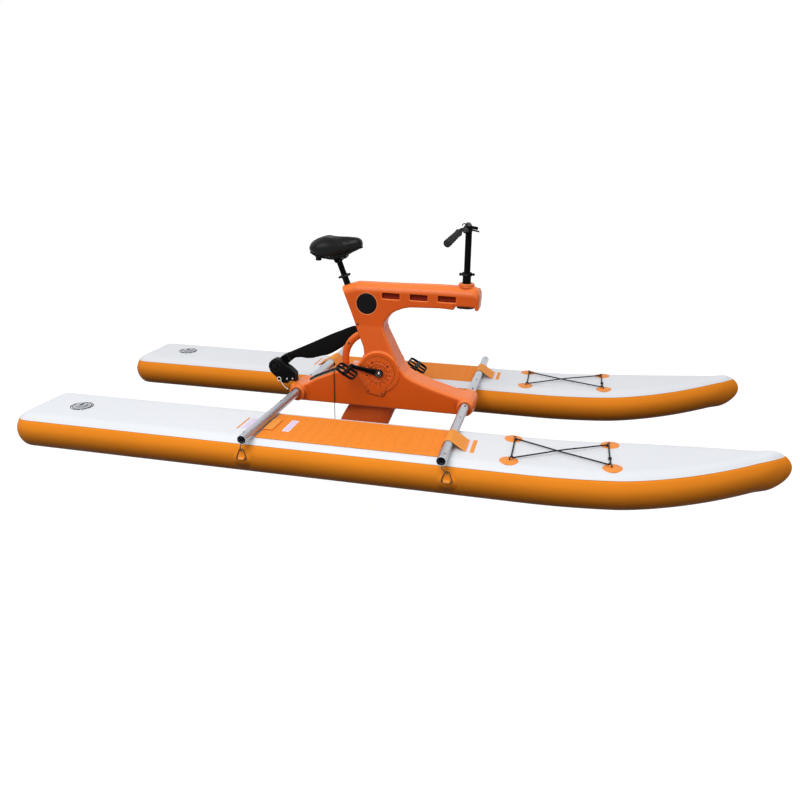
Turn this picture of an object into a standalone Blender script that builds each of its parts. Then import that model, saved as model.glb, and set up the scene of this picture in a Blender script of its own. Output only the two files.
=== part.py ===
"""Water bike: two inflated floats, two cross tubes and a moulded frame with pedals, propeller and rudder.

Metres, +Z up, +X forward, +Y to the rider's left. The origin is under the crank axle, on the plane of the
floats' undersides.
"""

import math

import bmesh
import bpy
from mathutils import Matrix, Vector

# Driving dimensions
GAP = 0.0003                # clearance between pieces that touch

FLOAT_THICKNESS = 0.200
FLOAT_WIDTH = 0.500
FLOAT_SPACING = 1.200       # between the floats' centre lines
FLOAT_TAIL_X = -1.980
FLOAT_NOSE_X = 2.106
FLOAT_SIDE_ROUND = 0.085    # half-width of the rounded side
NOSE_TAPER_X = 1.348        # where the nose starts to narrow
NOSE_LIFT_X = 0.903         # where the nose starts to rise
NOSE_LIFT = 0.143
TAIL_CORNER = 0.120

TUBE_X = 0.518              # both cross tubes, fore and aft of the crank axle
TUBE_RADIUS = 0.025
TUBE_BORE = 0.0225
TUBE_HALF = 0.892
TUBE_SIDES = 20
TUBE_Z = FLOAT_THICKNESS + TUBE_RADIUS + 0.001

BODY_HALF = 0.085           # half-width of the moulded frame's lower beam
BEAM_HALF = 0.065           # half-width of its top beam
NARROW_LOW, NARROW_HIGH = 0.470, 0.660   # heights between which the column narrows
BEAM_TOP = 0.911            # over the handlebar post
BOSS_FACE = 0.118           # outer face of the bosses round the cross tubes
RING_FACE = 0.093           # raised ring round the gear covers
REAR_DECK_Z = 0.2625        # flat land at the rear end, under the rudder bracket

CRANK_Z = 0.386
CRANK_LENGTH = 0.170
CRANK_REST = math.radians(10.0)
CRANK_INNER = 0.0975        # inner face of a crank arm
CRANK_OUTER = 0.1155
PEDAL_Y = 0.175

SHAFT_TILT = math.radians(12.0)   # the drive shaft leans back from the vertical
POD_Z = -0.250
POD_RADIUS = 0.042

STEER_X = 0.483
SEAT_TILT = math.radians(20.5)
SEAT_FOOT = Vector((-0.225, 0.0, 0.902))

RUDDER_PIVOT = Vector((-0.681, 0.058, 0.350))
RUDDER_REST = math.radians(27.0)

ORANGE_HULL = (0.58, 0.080, 0.010)
ORANGE_FABRIC = (0.86, 0.26, 0.022)
ORANGE_PAD = (0.92, 0.25, 0.024)
WHITE_DECK = (0.78, 0.80, 0.83)
BLACK = (0.010, 0.010, 0.012)
ALLOY = (0.60, 0.62, 0.64)
STEEL = (0.42, 0.42, 0.43)
WHITE_CORD = (0.80, 0.78, 0.72)

RIGHT = -1
LEFT = 1
SIDES = ((RIGHT, "right"), (LEFT, "left"))
ENDS = ((TUBE_X, "front"), (-TUBE_X, "rear"))


# Scene and materials

def clear_scene():
    for old in list(bpy.data.objects):
        bpy.data.objects.remove(old, do_unlink=True)


def make_material(name, color, roughness, metallic=0.0):
    material = bpy.data.materials.new(name)
    material.use_nodes = True
    shader = material.node_tree.nodes["Principled BSDF"]
    shader.inputs["Base Color"].default_value = (*color, 1.0)
    shader.inputs["Roughness"].default_value = roughness
    shader.inputs["Metallic"].default_value = metallic
    material.diffuse_color = (*color, 1.0)
    return material


def face_outward(shape):
    shape.normal_update()
    bmesh.ops.recalc_face_normals(shape, faces=shape.faces)


def make_object(name, mesh_builder, look, origin=(0.0, 0.0, 0.0), smooth_angle=35.0):
    """Turns a bmesh in world coordinates into an object whose origin is on the piece's axis."""
    origin = Vector(origin)
    face_outward(mesh_builder)
    mesh_builder.transform(Matrix.Translation(-origin))
    mesh = bpy.data.meshes.new(name)
    mesh_builder.to_mesh(mesh)
    mesh_builder.free()
    mesh.shade_smooth()
    mesh.set_sharp_from_angle(angle=math.radians(smooth_angle))
    thing = bpy.data.objects.new(name, mesh)
    thing.location = origin
    bpy.context.scene.collection.objects.link(thing)
    mesh.materials.append(make_material(name, *look))
    return thing


def add_boolean(thing, tool_mesh, operation):
    """Adds a Boolean modifier whose tool is hidden from renders."""
    count = len(thing.modifiers)
    tool = make_object(f"{thing.name}.tool{count}", tool_mesh, ((0.5, 0.5, 0.5), 0.5))
    tool.hide_render = True
    tool.display_type = "WIRE"
    modifier = thing.modifiers.new(f"{operation.lower()}{count}", "BOOLEAN")
    modifier.operation = operation
    modifier.solver = "EXACT"
    modifier.object = tool


def cut(thing, *tools):
    for tool in tools:
        add_boolean(thing, tool, "DIFFERENCE")


def fuse(thing, *tools):
    for tool in tools:
        add_boolean(thing, tool, "UNION")


# Solid shapes, each returned as a bmesh in world coordinates

def join(*shapes):
    """Puts several separate shapes into one bmesh, for tools whose shapes don't touch."""
    whole = bmesh.new()
    for shape in shapes:
        mesh = bpy.data.meshes.new("part")
        shape.to_mesh(mesh)
        shape.free()
        whole.from_mesh(mesh)
        bpy.data.meshes.remove(mesh)
    return whole


def moved(shape, matrix):
    shape.transform(matrix)
    return shape


def prism_y(outline, y_low, y_high):
    """An outline of (x, z) points, extruded across the craft."""
    shape = bmesh.new()
    face = shape.faces.new([shape.verts.new((x, y_low, z)) for x, z in outline])
    grown = bmesh.ops.extrude_face_region(shape, geom=[face])
    top = [item for item in grown["geom"] if isinstance(item, bmesh.types.BMVert)]
    bmesh.ops.translate(shape, verts=top, vec=(0.0, y_high - y_low, 0.0))
    face_outward(shape)
    return shape


def prism_z(outline, z_low, z_high):
    """An outline of (x, y) points, extruded upward."""
    shape = bmesh.new()
    face = shape.faces.new([shape.verts.new((x, y, z_low)) for x, y in outline])
    grown = bmesh.ops.extrude_face_region(shape, geom=[face])
    top = [item for item in grown["geom"] if isinstance(item, bmesh.types.BMVert)]
    bmesh.ops.translate(shape, verts=top, vec=(0.0, 0.0, z_high - z_low))
    face_outward(shape)
    return shape


def box(low, high):
    outline = [(low[0], low[2]), (high[0], low[2]), (high[0], high[2]), (low[0], high[2])]
    return prism_y(outline, low[1], high[1])


def frame_on(axis):
    """A rotation that carries +Z onto the axis."""
    return Vector((0.0, 0.0, 1.0)).rotation_difference(Vector(axis)).to_matrix().to_4x4()


def turned(profile, start, axis, sides=18):
    """A solid turned about an axis through start. The profile is (distance along, radius)."""
    rings = []
    for along, radius in profile:
        ring = []
        for step in range(sides):
            angle = 2.0 * math.pi * step / sides
            ring.append(Vector((radius * math.cos(angle), radius * math.sin(angle), along)))
        rings.append(ring)
    shape = loft(rings)
    return moved(shape, Matrix.Translation(Vector(start)) @ frame_on(axis))


def rod(start, end, radius, sides=16):
    start, end = Vector(start), Vector(end)
    return turned([(0.0, radius), ((end - start).length, radius)], start, end - start, sides)


def bore(start, end, radius, sides=16):
    """A cutter whose flats clear a round piece of this radius by the gap."""
    return rod(start, end, (radius + GAP) / math.cos(math.pi / sides), sides)


def hollow_rod(start, end, radius, inside, sides=18):
    """A tube that clears a round piece of the inside radius: two walls joined by a ring at each end."""
    start, end = Vector(start), Vector(end)
    length = (end - start).length
    inner = (inside + GAP) / math.cos(math.pi / sides)
    walk = ((0.0, radius), (length, radius), (length, inner), (0.0, inner))
    shape = bmesh.new()
    rings = []
    for along, size in walk:
        ring = []
        for step in range(sides):
            angle = 2.0 * math.pi * step / sides
            ring.append(shape.verts.new((size * math.cos(angle), size * math.sin(angle), along)))
        rings.append(ring)
    for first, second in zip(rings, rings[1:] + rings[:1]):
        bridge(shape, first, second)
    face_outward(shape)
    return moved(shape, Matrix.Translation(start) @ frame_on(end - start))


def bridge(shape, first, second):
    count = len(first)
    for step in range(count):
        after = (step + 1) % count
        shape.faces.new((first[step], first[after], second[after], second[step]))


def loft(rings):
    """A closed solid through rings of equal count, with a flat face at each end."""
    shape = bmesh.new()
    rows = [[shape.verts.new(point) for point in ring] for ring in rings]
    for first, second in zip(rows, rows[1:]):
        bridge(shape, first, second)
    shape.faces.new(rows[0][::-1])
    shape.faces.new(rows[-1])
    face_outward(shape)
    return shape


def swept(points, half_wide, half_thick, sides=12, across=Vector((0.0, 1.0, 0.0))):
    """An oval section carried along a path that stays square to one direction."""
    points = [Vector(point) for point in points]
    rings = []
    for index, point in enumerate(points):
        before = points[max(index - 1, 0)]
        after = points[min(index + 1, len(points) - 1)]
        along = (after - before).normalized()
        out = along.cross(across).normalized()
        side = out.cross(along)
        ring = []
        for step in range(sides):
            angle = 2.0 * math.pi * step / sides
            offset = out * (half_wide * math.cos(angle)) + side * (half_thick * math.sin(angle))
            ring.append(point + offset)
        rings.append(ring)
    return loft(rings)


def arc(center, radius, start, end, steps):
    """Points (x, z) on an arc, angles in degrees."""
    points = []
    for step in range(steps + 1):
        angle = math.radians(start + (end - start) * step / steps)
        points.append((center[0] + radius * math.cos(angle), center[1] + radius * math.sin(angle)))
    return points


def smooth_path(points, per_span=6):
    """Points along a smooth curve that passes through the given ones."""
    points = [Vector(point) for point in points]
    ends = [2 * points[0] - points[1]] + points + [2 * points[-1] - points[-2]]
    path = []
    for index in range(1, len(ends) - 2):
        p0, p1, p2, p3 = ends[index - 1 : index + 3]
        for step in range(per_span):
            t = step / per_span
            spot = 2 * p1 + (p2 - p0) * t + (2 * p0 - 5 * p1 + 4 * p2 - p3) * t * t
            path.append(0.5 * (spot + (3 * p1 - p0 - 3 * p2 + p3) * t * t * t))
    path.append(points[-1])
    return path


def make_cord(name, points, radius, look, closed=False):
    """A cord as a curve with a bevel and filled caps."""
    curve = bpy.data.curves.new(name, "CURVE")
    curve.dimensions = "3D"
    curve.bevel_depth = radius
    curve.bevel_resolution = 1
    curve.use_fill_caps = True
    line = curve.splines.new("POLY")
    line.points.add(len(points) - 1)
    for spot, point in zip(line.points, points):
        spot.co = (*point, 1.0)
    line.use_cyclic_u = closed
    curve.materials.append(make_material(name, *look))
    cord = bpy.data.objects.new(name, curve)
    bpy.context.scene.collection.objects.link(cord)
    return cord


def bevelled(thing, width, segments=2, angle=40.0):
    modifier = thing.modifiers.new("rounding", "BEVEL")
    modifier.width = width
    modifier.segments = segments
    modifier.limit_method = "ANGLE"
    modifier.angle_limit = math.radians(angle)
    return thing


# Floats

def nose_lift(x):
    reach = max(0.0, (x - NOSE_LIFT_X) / (FLOAT_NOSE_X - NOSE_LIFT_X))
    return NOSE_LIFT * reach ** 2


def nose_slope(x):
    reach = max(0.0, (x - NOSE_LIFT_X) / (FLOAT_NOSE_X - NOSE_LIFT_X))
    return math.atan(2.0 * NOSE_LIFT * reach / (FLOAT_NOSE_X - NOSE_LIFT_X))


def float_half_width(x):
    """Half the width at a station: rounded tail corners, straight sides, a nose that narrows in a curve."""
    half = FLOAT_WIDTH / 2.0
    if x > NOSE_TAPER_X:
        reach = min(1.0, (x - NOSE_TAPER_X) / (FLOAT_NOSE_X - NOSE_TAPER_X))
        return half * max(1.0 - reach ** 1.46, 1e-4) ** 0.75
    from_tail = x - FLOAT_TAIL_X
    if from_tail < TAIL_CORNER:
        return half - TAIL_CORNER + math.sqrt(TAIL_CORNER ** 2 - (TAIL_CORNER - from_tail) ** 2)
    return half


def float_stations():
    """(x, fullness) pairs from tail to nose; fullness is the share of the full thickness."""
    end_round = 0.085
    tail = [end_round * (1.0 - math.cos(math.radians(angle))) for angle in (24, 54, 90)]
    stations = [(FLOAT_TAIL_X + depth, math.sqrt(1.0 - (1.0 - depth / end_round) ** 2)) for depth in tail]
    stations.append((FLOAT_TAIL_X + TAIL_CORNER, 1.0))
    stations += [(x, 1.0) for x in (0.70, NOSE_LIFT_X, 1.06, 1.21, NOSE_TAPER_X)]
    nose = [0.60, 0.48, 0.37, 0.28, 0.20, 0.13]
    stations += [(FLOAT_NOSE_X - back, 1.0) for back in nose]
    for angle in (72, 46, 22):
        depth = end_round * (1.0 - math.cos(math.radians(angle)))
        fullness = math.sqrt(1.0 - (1.0 - depth / end_round) ** 2)
        stations.append((FLOAT_NOSE_X - depth, fullness))
    return stations


def float_ring(x, fullness, center_y):
    """One cross-section: flat deck and bottom, rounded sides."""
    half = float_half_width(x)
    thick = FLOAT_THICKNESS / 2.0 * fullness
    side = min(FLOAT_SIDE_ROUND, half * 0.95)
    middle = FLOAT_THICKNESS / 2.0 + nose_lift(x)
    ring = []
    for hand in (1, -1):
        for step in range(8):
            angle = math.radians(90.0 - 180.0 / 7 * step)
            y = half - side + side * math.cos(angle)
            z = thick * math.sin(angle)
            ring.append(Vector((x, center_y + hand * y, middle + hand * z)))
    return ring


def deck_patch_places(center_y):
    """Centres of the four round patches that hold the luggage cord."""
    across = 0.142
    places = []
    for x, y in ((0.830, -across), (0.830, across), (1.319, -across), (1.319, across)):
        places.append(Vector((x, center_y + y, FLOAT_THICKNESS + nose_lift(x))))
    return places


CORD_ORDER = (0, 3, 2, 1)   # diagonal, front edge, diagonal, rear edge


def cord_pull(places, index):
    """Unit vectors at one patch: the way the cord pulls, and the way it runs through the loop."""
    at = CORD_ORDER.index(index)
    before, after = places[CORD_ORDER[at - 1]], places[CORD_ORDER[(at + 1) % 4]]
    to_before = (before - places[index]).normalized()
    to_after = (after - places[index]).normalized()
    return (to_before + to_after).normalized(), (to_after - to_before).normalized()


PATCH_RISE = 0.004
LOOP_RADIUS = 0.0152
LOOP_WIRE = 0.0030


def patch_with_loop(place, inward):
    """A round fabric patch with a small standing loop in line with the cord's pull."""
    tilt = Matrix.Rotation(-nose_slope(place.x), 4, "Y")
    disc = turned([(-0.010, 0.048), (PATCH_RISE, 0.047)], (0, 0, 0), (0, 0, 1), 18)
    base = Matrix.Translation(place) @ tilt
    disc.transform(base)
    arch_points = []
    for step in range(6):
        angle = math.radians(-12.0 + 204.0 * step / 5)
        arch_points.append(Vector((LOOP_RADIUS * math.cos(angle), 0.0, LOOP_RADIUS * math.sin(angle))))
    wire = swept(arch_points, LOOP_WIRE, LOOP_WIRE, 6)
    turn = Matrix.Rotation(math.atan2(inward.y, inward.x), 4, "Z")
    wire.transform(base @ Matrix.Translation((0.0, 0.0, PATCH_RISE)) @ turn)
    return disc, wire


SIDE_PATCH_Z = 0.0925
RING_BAR_Z = 0.102          # height of a side ring's straight bar
RING_OUT = 0.025            # from a tube's centre line to its side rings

STRAP_Y = 0.612             # centre line of the straps
STRAP_HALF_Y = 0.078
STRAP_THICK = 0.0026
STRAP_REACH = 0.091         # end of a closed strap, outward of its tube
BASE_SPAN = (0.014, 0.134)  # the patch under its end, from the tube's centre line
STRIP_SPAN = (0.112, 0.130)
BASE_RISE = 0.0012


def side_reach(z):
    """How far the rounded side stands out from the float's centre line at a height."""
    share = (z - FLOAT_THICKNESS / 2.0) / (FLOAT_THICKNESS / 2.0)
    return FLOAT_WIDTH / 2.0 - FLOAT_SIDE_ROUND * (1.0 - math.sqrt(1.0 - share ** 2))


def side_patch(hand, x, center_y):
    """A round patch that follows the rounded side, with a webbing tunnel for the ring's straight bar."""
    rings = []
    for radius, rise in ((0.050, -0.010), (0.050, 0.0012), (0.047, 0.003), (0.026, 0.004)):
        ring = []
        for step in range(18):
            angle = 2.0 * math.pi * step / 18
            z = SIDE_PATCH_Z + radius * math.sin(angle)
            ring.append(Vector((x + radius * math.cos(angle), center_y + hand * (side_reach(z) + rise), z)))
        rings.append(ring)
    outer = center_y + hand * FLOAT_WIDTH / 2.0
    tunnel = []
    for step in range(7):
        angle = math.radians(-100.0 + 200.0 * step / 6)
        y, z = 0.003 + 0.0105 * math.cos(angle), RING_BAR_Z + 0.009 * math.sin(angle)
        tunnel.append(Vector((x, outer + hand * y, z)))
    return loft(rings), swept(tunnel, 0.0016, 0.016, 6, Vector((1.0, 0.0, 0.0)))


def strap_base(hand, tube_x):
    """The thin patch bonded to the deck under a strap's end, with a stitched strip across its far end."""
    outward = math.copysign(1.0, tube_x)
    middle = hand * STRAP_Y
    pieces = []
    layers = ((BASE_SPAN, 0.085, BASE_RISE), (STRIP_SPAN, 0.083, 2.0 * BASE_RISE))
    for (start, end), half_y, rise in layers:
        low_x, high_x = sorted((tube_x + outward * start, tube_x + outward * end))
        low = (low_x, middle - half_y, FLOAT_THICKNESS - 0.004)
        pieces.append(box(low, (high_x, middle + half_y, FLOAT_THICKNESS + rise)))
    return pieces


def make_float(hand, name):
    center_y = hand * FLOAT_SPACING / 2.0
    rings = [float_ring(x, fullness, center_y) for x, fullness in float_stations()]
    thing = make_object(f"{name}_float", loft(rings), (ORANGE_FABRIC, 0.45), smooth_angle=50.0)
    places = deck_patch_places(center_y)
    for index, place in enumerate(places):
        fuse(thing, *patch_with_loop(place, cord_pull(places, index)[0]))
    for tube_x, _ in ENDS:
        fuse(thing, *side_patch(hand, tube_x + math.copysign(RING_OUT, tube_x), center_y))
        fuse(thing, *strap_base(hand, tube_x))
    valve_seat = [(-0.010, 0.067), (0.003, 0.066), (0.003, 0.044), (0.007, 0.042)]
    valve_y = center_y + hand * VALVE_OUT
    fuse(thing, turned(valve_seat, (VALVE_X, valve_y, FLOAT_THICKNESS), (0, 0, 1), 16))
    return thing


VALVE_X = -1.656
VALVE_OUT = 0.012           # outward of the float's centre line


def make_valve_cap(hand, name):
    """A round cap with two finger notches beside a bar."""
    center_y = hand * (FLOAT_SPACING / 2.0 + VALVE_OUT)
    base = FLOAT_THICKNESS + 0.007 + GAP
    profile = [(0.0, 0.031), (0.006, 0.031), (0.008, 0.029)]
    thing = make_object(
        f"{name}_valve_cap",
        turned(profile, (VALVE_X, center_y, base), (0, 0, 1), 20),
        (BLACK, 0.5),
        (VALVE_X, center_y, base),
    )
    for place in (-1, 1):
        y = center_y + place * 0.015
        cut(thing, box((VALVE_X - 0.017, y - 0.008, base + 0.003), (VALVE_X + 0.017, y + 0.008, base + 0.02)))
    return thing


PAD_HALF_X = 0.478
PAD_HALF_Y = 0.172
PAD_Y = 0.614               # centre line of a pad, a little outward of its float's
PAD_THICKNESS = 0.006
PAD_ROWS = 15
PAD_GROOVE = ((-0.003, 0.002), (-0.002, -0.002), (0.002, -0.002), (0.003, 0.002))


def rounded_rectangle(half_x, half_y, radius, steps=3):
    outline = []
    for sign_x, sign_y, start in ((1, 1, 0), (-1, 1, 90), (-1, -1, 180), (1, -1, 270)):
        center = (sign_x * (half_x - radius), sign_y * (half_y - radius))
        outline += arc(center, radius, start, start + 90, steps)
    return outline


def make_deck_pad(hand, name):
    """A foam pad with rows of cross grooves, held between the two cross tubes."""
    center_y = hand * PAD_Y
    low = FLOAT_THICKNESS + GAP
    outline = [(x, y + center_y) for x, y in rounded_rectangle(PAD_HALF_X, PAD_HALF_Y, 0.03)]
    thing = make_object(f"{name}_deck_pad", prism_z(outline, low, low + PAD_THICKNESS), (ORANGE_PAD, 0.75))
    grooves = []
    top = low + PAD_THICKNESS
    pitch = 2.0 * PAD_HALF_X / (PAD_ROWS + 1)
    for row in range(PAD_ROWS):
        x = -PAD_HALF_X + pitch * (row + 1)
        groove = [(x + wide, top + up) for wide, up in PAD_GROOVE]
        grooves.append(prism_y(groove, center_y - PAD_HALF_Y + 0.015, center_y + PAD_HALF_Y - 0.015))
    cut(thing, join(*grooves))
    return thing


def closed_strap():
    """Side view of a closed strap: up behind its tube, over it, and straight down to the patch in front."""
    deck = FLOAT_THICKNESS + GAP
    base = deck + BASE_RISE
    inside = TUBE_RADIUS + 0.0006
    lower = [(-0.0366, deck)]
    lower += [(x, TUBE_Z + z) for x, z in arc((0.0, 0.0), inside, 161.0, 55.0, 8)]
    lower += [(STRAP_REACH - 0.009, base), (STRAP_REACH, base)]
    upper = [(-0.0366 - STRAP_THICK, deck)]
    upper += [(x, TUBE_Z + z) for x, z in arc((0.0, 0.0), inside + STRAP_THICK, 160.0, 56.0, 8)]
    upper += [(STRAP_REACH - 0.0075, base + STRAP_THICK), (STRAP_REACH, base + STRAP_THICK)]
    return lower + upper[::-1]


def folded_strap():
    """Side view of an undone strap, folded in two and laid back on the end of the pad."""
    low = FLOAT_THICKNESS + PAD_THICKNESS + 2 * GAP
    near_fold = [(-0.0425, 0.0), (-0.0412, 0.0018), (-0.0425, 0.0030), (-0.0455, 0.0032), (-0.0425, 0.0034)]
    near_fold += [(-0.0415, 0.0048), (-0.0430, 0.0060)]
    far_fold = [(-0.0785, 0.0062), (-0.0808, 0.0048), (-0.0812, 0.0020), (-0.0800, 0.0)]
    return [(x, low + z) for x, z in near_fold + far_fold]


def make_strap(hand, side_name, tube_x, end_name):
    """A fabric strap over a cross tube; the right rear one is undone and folded back."""
    undone = hand == RIGHT and tube_x < 0
    outward = math.copysign(1.0, tube_x)
    outline = [(tube_x + outward * x, z) for x, z in (folded_strap() if undone else closed_strap())]
    middle = hand * STRAP_Y
    shape = prism_y(outline, middle - STRAP_HALF_Y, middle + STRAP_HALF_Y)
    return make_object(f"{side_name}_{end_name}_strap", shape, (ORANGE_FABRIC, 0.6))


def make_side_ring(hand, side_name, tube_x, end_name):
    """A bent wire ring whose straight bar lies in the patch's tunnel; its bow leans up against the float."""
    outer = hand * (FLOAT_SPACING + FLOAT_WIDTH) / 2.0
    pivot = Vector((tube_x + math.copysign(RING_OUT, tube_x), outer + hand * 0.0075, RING_BAR_Z))
    lean = math.tan(math.radians(8.0))
    wire = 0.0024
    right_half = [(0.0265, 0.0), (0.0240, 0.016), (0.0135, 0.043), (0.0060, 0.0525)]
    corners = right_half + [(-x, z) for x, z in right_half[::-1]]
    ring = bmesh.new()
    rows = []
    count = len(corners)
    for index in range(count):
        before, here, after = (Vector(corners[(index + shift) % count]) for shift in (-1, 0, 1))
        into, out = (here - before).normalized(), (after - here).normalized()
        miter = Vector((-(into + out).y, (into + out).x)).normalized()
        stretch = wire / max(0.5, miter.dot(Vector((-into.y, into.x))))
        row = []
        for step in range(8):
            angle = 2.0 * math.pi * step / 8
            flat = here + miter * stretch * math.cos(angle)
            y = pivot.y - hand * lean * flat.y + wire * math.sin(angle)
            row.append(ring.verts.new((pivot.x + flat.x, y, pivot.z + flat.y)))
        rows.append(row)
    for first, second in zip(rows, rows[1:] + rows[:1]):
        bridge(ring, first, second)
    return make_object(f"{side_name}_{end_name}_ring", ring, (STEEL, 0.3, 1.0), pivot)


BUNGEE_RADIUS = 0.0030


def make_bungee(hand, name):
    """The luggage cord: an elastic loop crossed over the deck through the four patch loops."""
    places = deck_patch_places(hand * FLOAT_SPACING / 2.0)
    height = Vector((0.0, 0.0, PATCH_RISE + 0.0052))
    bight = ((0.0155, -0.0095), (0.0085, -0.0064), (0.0060, 0.0), (0.0085, 0.0064), (0.0155, 0.0095))
    points = []
    for at, index in enumerate(CORD_ORDER):
        place, after = places[index], places[CORD_ORDER[(at + 1) % 4]]
        pull, through = cord_pull(places, index)
        points += [place + height + pull * inward + through * along for inward, along in bight]
        run = after - place
        if at in (0, 2):
            # the two diagonals pass over and under each other
            lift = 0.0085 if at == 0 else 0.0010
            for share in (0.28, 0.42, 0.50, 0.58, 0.72):
                rise = lift * (1.0 - (abs(share - 0.5) / 0.22) ** 2 * 0.5)
                points.append(place + height + run * share + Vector((0.0, 0.0, rise)))
    return make_cord(f"{name}_bungee", points, BUNGEE_RADIUS, (BLACK, 0.7), closed=True)


# Cross tubes and their snap buttons

BUTTON_RADIUS = 0.0045
BUTTON_IN = 0.050           # from the tube's open end


def make_cross_tube(tube_x, name):
    start = (tube_x, -TUBE_HALF, TUBE_Z)
    end = (tube_x, TUBE_HALF, TUBE_Z)
    shape = hollow_rod(start, end, TUBE_RADIUS, TUBE_BORE, TUBE_SIDES)
    thing = make_object(f"{name}_cross_tube", shape, (ALLOY, 0.35, 1.0))
    outward = 1.0 if tube_x > 0 else -1.0
    lean = Vector((outward * math.sin(math.radians(20.0)), 0.0, math.cos(math.radians(20.0))))
    for hand, _ in SIDES:
        # a hole for the snap button, and a low round screw head next to the frame's boss
        button = Vector((tube_x, hand * (TUBE_HALF - BUTTON_IN), TUBE_Z))
        cut(thing, bore(button + lean * 0.012, button + lean * 0.032, BUTTON_RADIUS, 12))
        screw = Vector((tube_x, hand * (BOSS_FACE + 0.045), TUBE_Z))
        profile = [(0.0, 0.0055), (0.0034, 0.0045)]
        fuse(thing, turned(profile, screw + lean * (TUBE_RADIUS - 0.0012), lean, 10))
    return thing


def make_snap_button(hand, side_name, tube_x, end_name):
    """A domed button on the upper leaf of a bent spring strip inside the tube's end."""
    outward = 1.0 if tube_x > 0 else -1.0
    lean = Vector((outward * math.sin(math.radians(20.0)), 0.0, math.cos(math.radians(20.0))))
    center = Vector((tube_x, hand * (TUBE_HALF - BUTTON_IN), TUBE_Z))
    root = center + lean * 0.0185
    profile = [(0.0, 0.0062), (0.0015, 0.0062), (0.0015, BUTTON_RADIUS)]
    profile += [(0.0105, BUTTON_RADIUS), (0.0125, 0.0025)]
    thing = make_object(
        f"{side_name}_{end_name}_button", turned(profile, root, lean, 12), (STEEL, 0.3, 1.0), root
    )
    # the leaf: a thin strip from under the button back to the bend, which leans off the wall
    across = lean.cross(Vector((0.0, 1.0, 0.0))).normalized()
    leaf = []
    for along, depth in ((0.010, 0.0004), (-0.045, -0.0130), (-0.052, -0.0170)):
        spot = root + Vector((0.0, hand * along, 0.0)) + lean * depth
        half = 0.005
        leaf.append(
            [
                spot - across * half,
                spot + across * half,
                spot + across * half + lean * 0.0008,
                spot - across * half + lean * 0.0008,
            ]
        )
    fuse(thing, loft(leaf))
    return thing


# Moulded frame

RING_CENTER = (-0.006, 0.386)


def frame_outline():
    """Side view of the frame, from the rear end along the bottom and back over the beam and the column."""
    rear_end = arc((-TUBE_X - 0.010, 0.215), 0.054, 150.0, 262.0, 4)
    front_end = arc((TUBE_X, 0.214), 0.055, 278.0, 425.0, 5)
    lower_beam_top = [(0.476, 0.266), (0.405, 0.286), (0.304, 0.315), (0.200, 0.353), (0.148, 0.382)]
    column_front = [(0.118, 0.420), (0.098, 0.460), (0.075, 0.510), (0.048, 0.570), (0.024, 0.621)]
    window = [(0.014, 0.655), (0.018, 0.679), (0.032, 0.703), (0.056, 0.732), (0.090, 0.754), (0.133, 0.771)]
    beam_bottom = [(0.173, 0.779), (0.345, 0.784), (0.424, 0.779)]
    arm_recess = [(0.426, 0.800), (0.539, 0.800)]
    beam_nose = [(0.543, 0.784), (0.556, 0.778), (0.564, 0.786), (0.567, 0.840), (0.565, 0.876)]
    beam_top = [(0.552, 0.899), (0.526, 0.908), (0.330, BEAM_TOP)]
    beam_top += [(0.100, BEAM_TOP - 0.004), (-0.148, BEAM_TOP - 0.005)]
    column_rear = [(-0.240, 0.879), (-0.184, 0.734), (-0.142, 0.618), (-0.106, 0.530), (-0.100, 0.490)]
    rear_top = [(-0.122, 0.446), (-0.150, 0.404), (-0.190, 0.390), (-0.277, 0.368), (-0.398, 0.315)]
    rear_deck = [(-0.470, 0.274), (-0.503, REAR_DECK_Z), (-0.566, REAR_DECK_Z)]
    return (
        rear_end + front_end + lower_beam_top + column_front + window + beam_bottom + arm_recess
        + beam_nose + beam_top + column_rear + rear_top + rear_deck
    )


def body_half_width(z):
    """Half the frame's width at a height: the column narrows between the two beams."""
    share = min(1.0, max(0.0, (z - NARROW_LOW) / (NARROW_HIGH - NARROW_LOW)))
    return BODY_HALF + (BEAM_HALF - BODY_HALF) * share


def body_blank():
    """The side view as a solid that narrows upward, with its side edges weighted for the rounding."""
    shape = prism_y(frame_outline(), -BODY_HALF, BODY_HALF)
    for height in (NARROW_LOW, NARROW_HIGH):
        everything = shape.verts[:] + shape.edges[:] + shape.faces[:]
        bmesh.ops.bisect_plane(shape, geom=everything, plane_co=(0, 0, height), plane_no=(0, 0, 1))
    for vert in shape.verts:
        vert.co.y *= body_half_width(vert.co.z) / BODY_HALF
    weight = shape.edges.layers.float.new("bevel_weight_edge")
    for edge in shape.edges:
        if len(edge.link_faces) != 2 or edge.calc_face_angle() < math.radians(60.0):
            continue
        first, second = edge.verts
        if first.co.y * second.co.y < 0.0:
            continue
        middle = (first.co + second.co) / 2.0
        on_top = middle.z > 0.865 or (edge.calc_length() > 0 and middle.x > 0.14 and 0.26 < middle.z < 0.40)
        edge[weight] = 1.0 if on_top else 0.6
    return shape


def both_sides(builder):
    """A tool made of the same shape on the right and on the left."""
    return join(builder(RIGHT), builder(LEFT))


def ring_raise(hand):
    """The raised ring that frames a gear cover."""
    center = Vector((RING_CENTER[0], hand * (BODY_HALF - 0.006), RING_CENTER[1]))
    outer = RING_FACE - BODY_HALF + 0.006
    return turned([(0.0, 0.126), (outer, 0.124)], center, (0, hand, 0), 26)


COVER_CENTER = (-0.008, 0.383)
COVER_RADIUS = 0.098


def cover_outline(grow):
    """The gear cover's outline: a disc with a tab below it that carries two screws."""
    radius = COVER_RADIUS + grow
    round_part = arc(COVER_CENTER, radius, -58.0, 232.0, 20)
    tab = [(-0.082 - grow, 0.285), (-0.081 - grow, 0.262 - grow), (-0.062, 0.253 - grow)]
    tab += [(0.008, 0.240 - grow), (0.026 + grow, 0.247 - grow), (0.032 + grow, 0.262)]
    return round_part + tab


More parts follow.
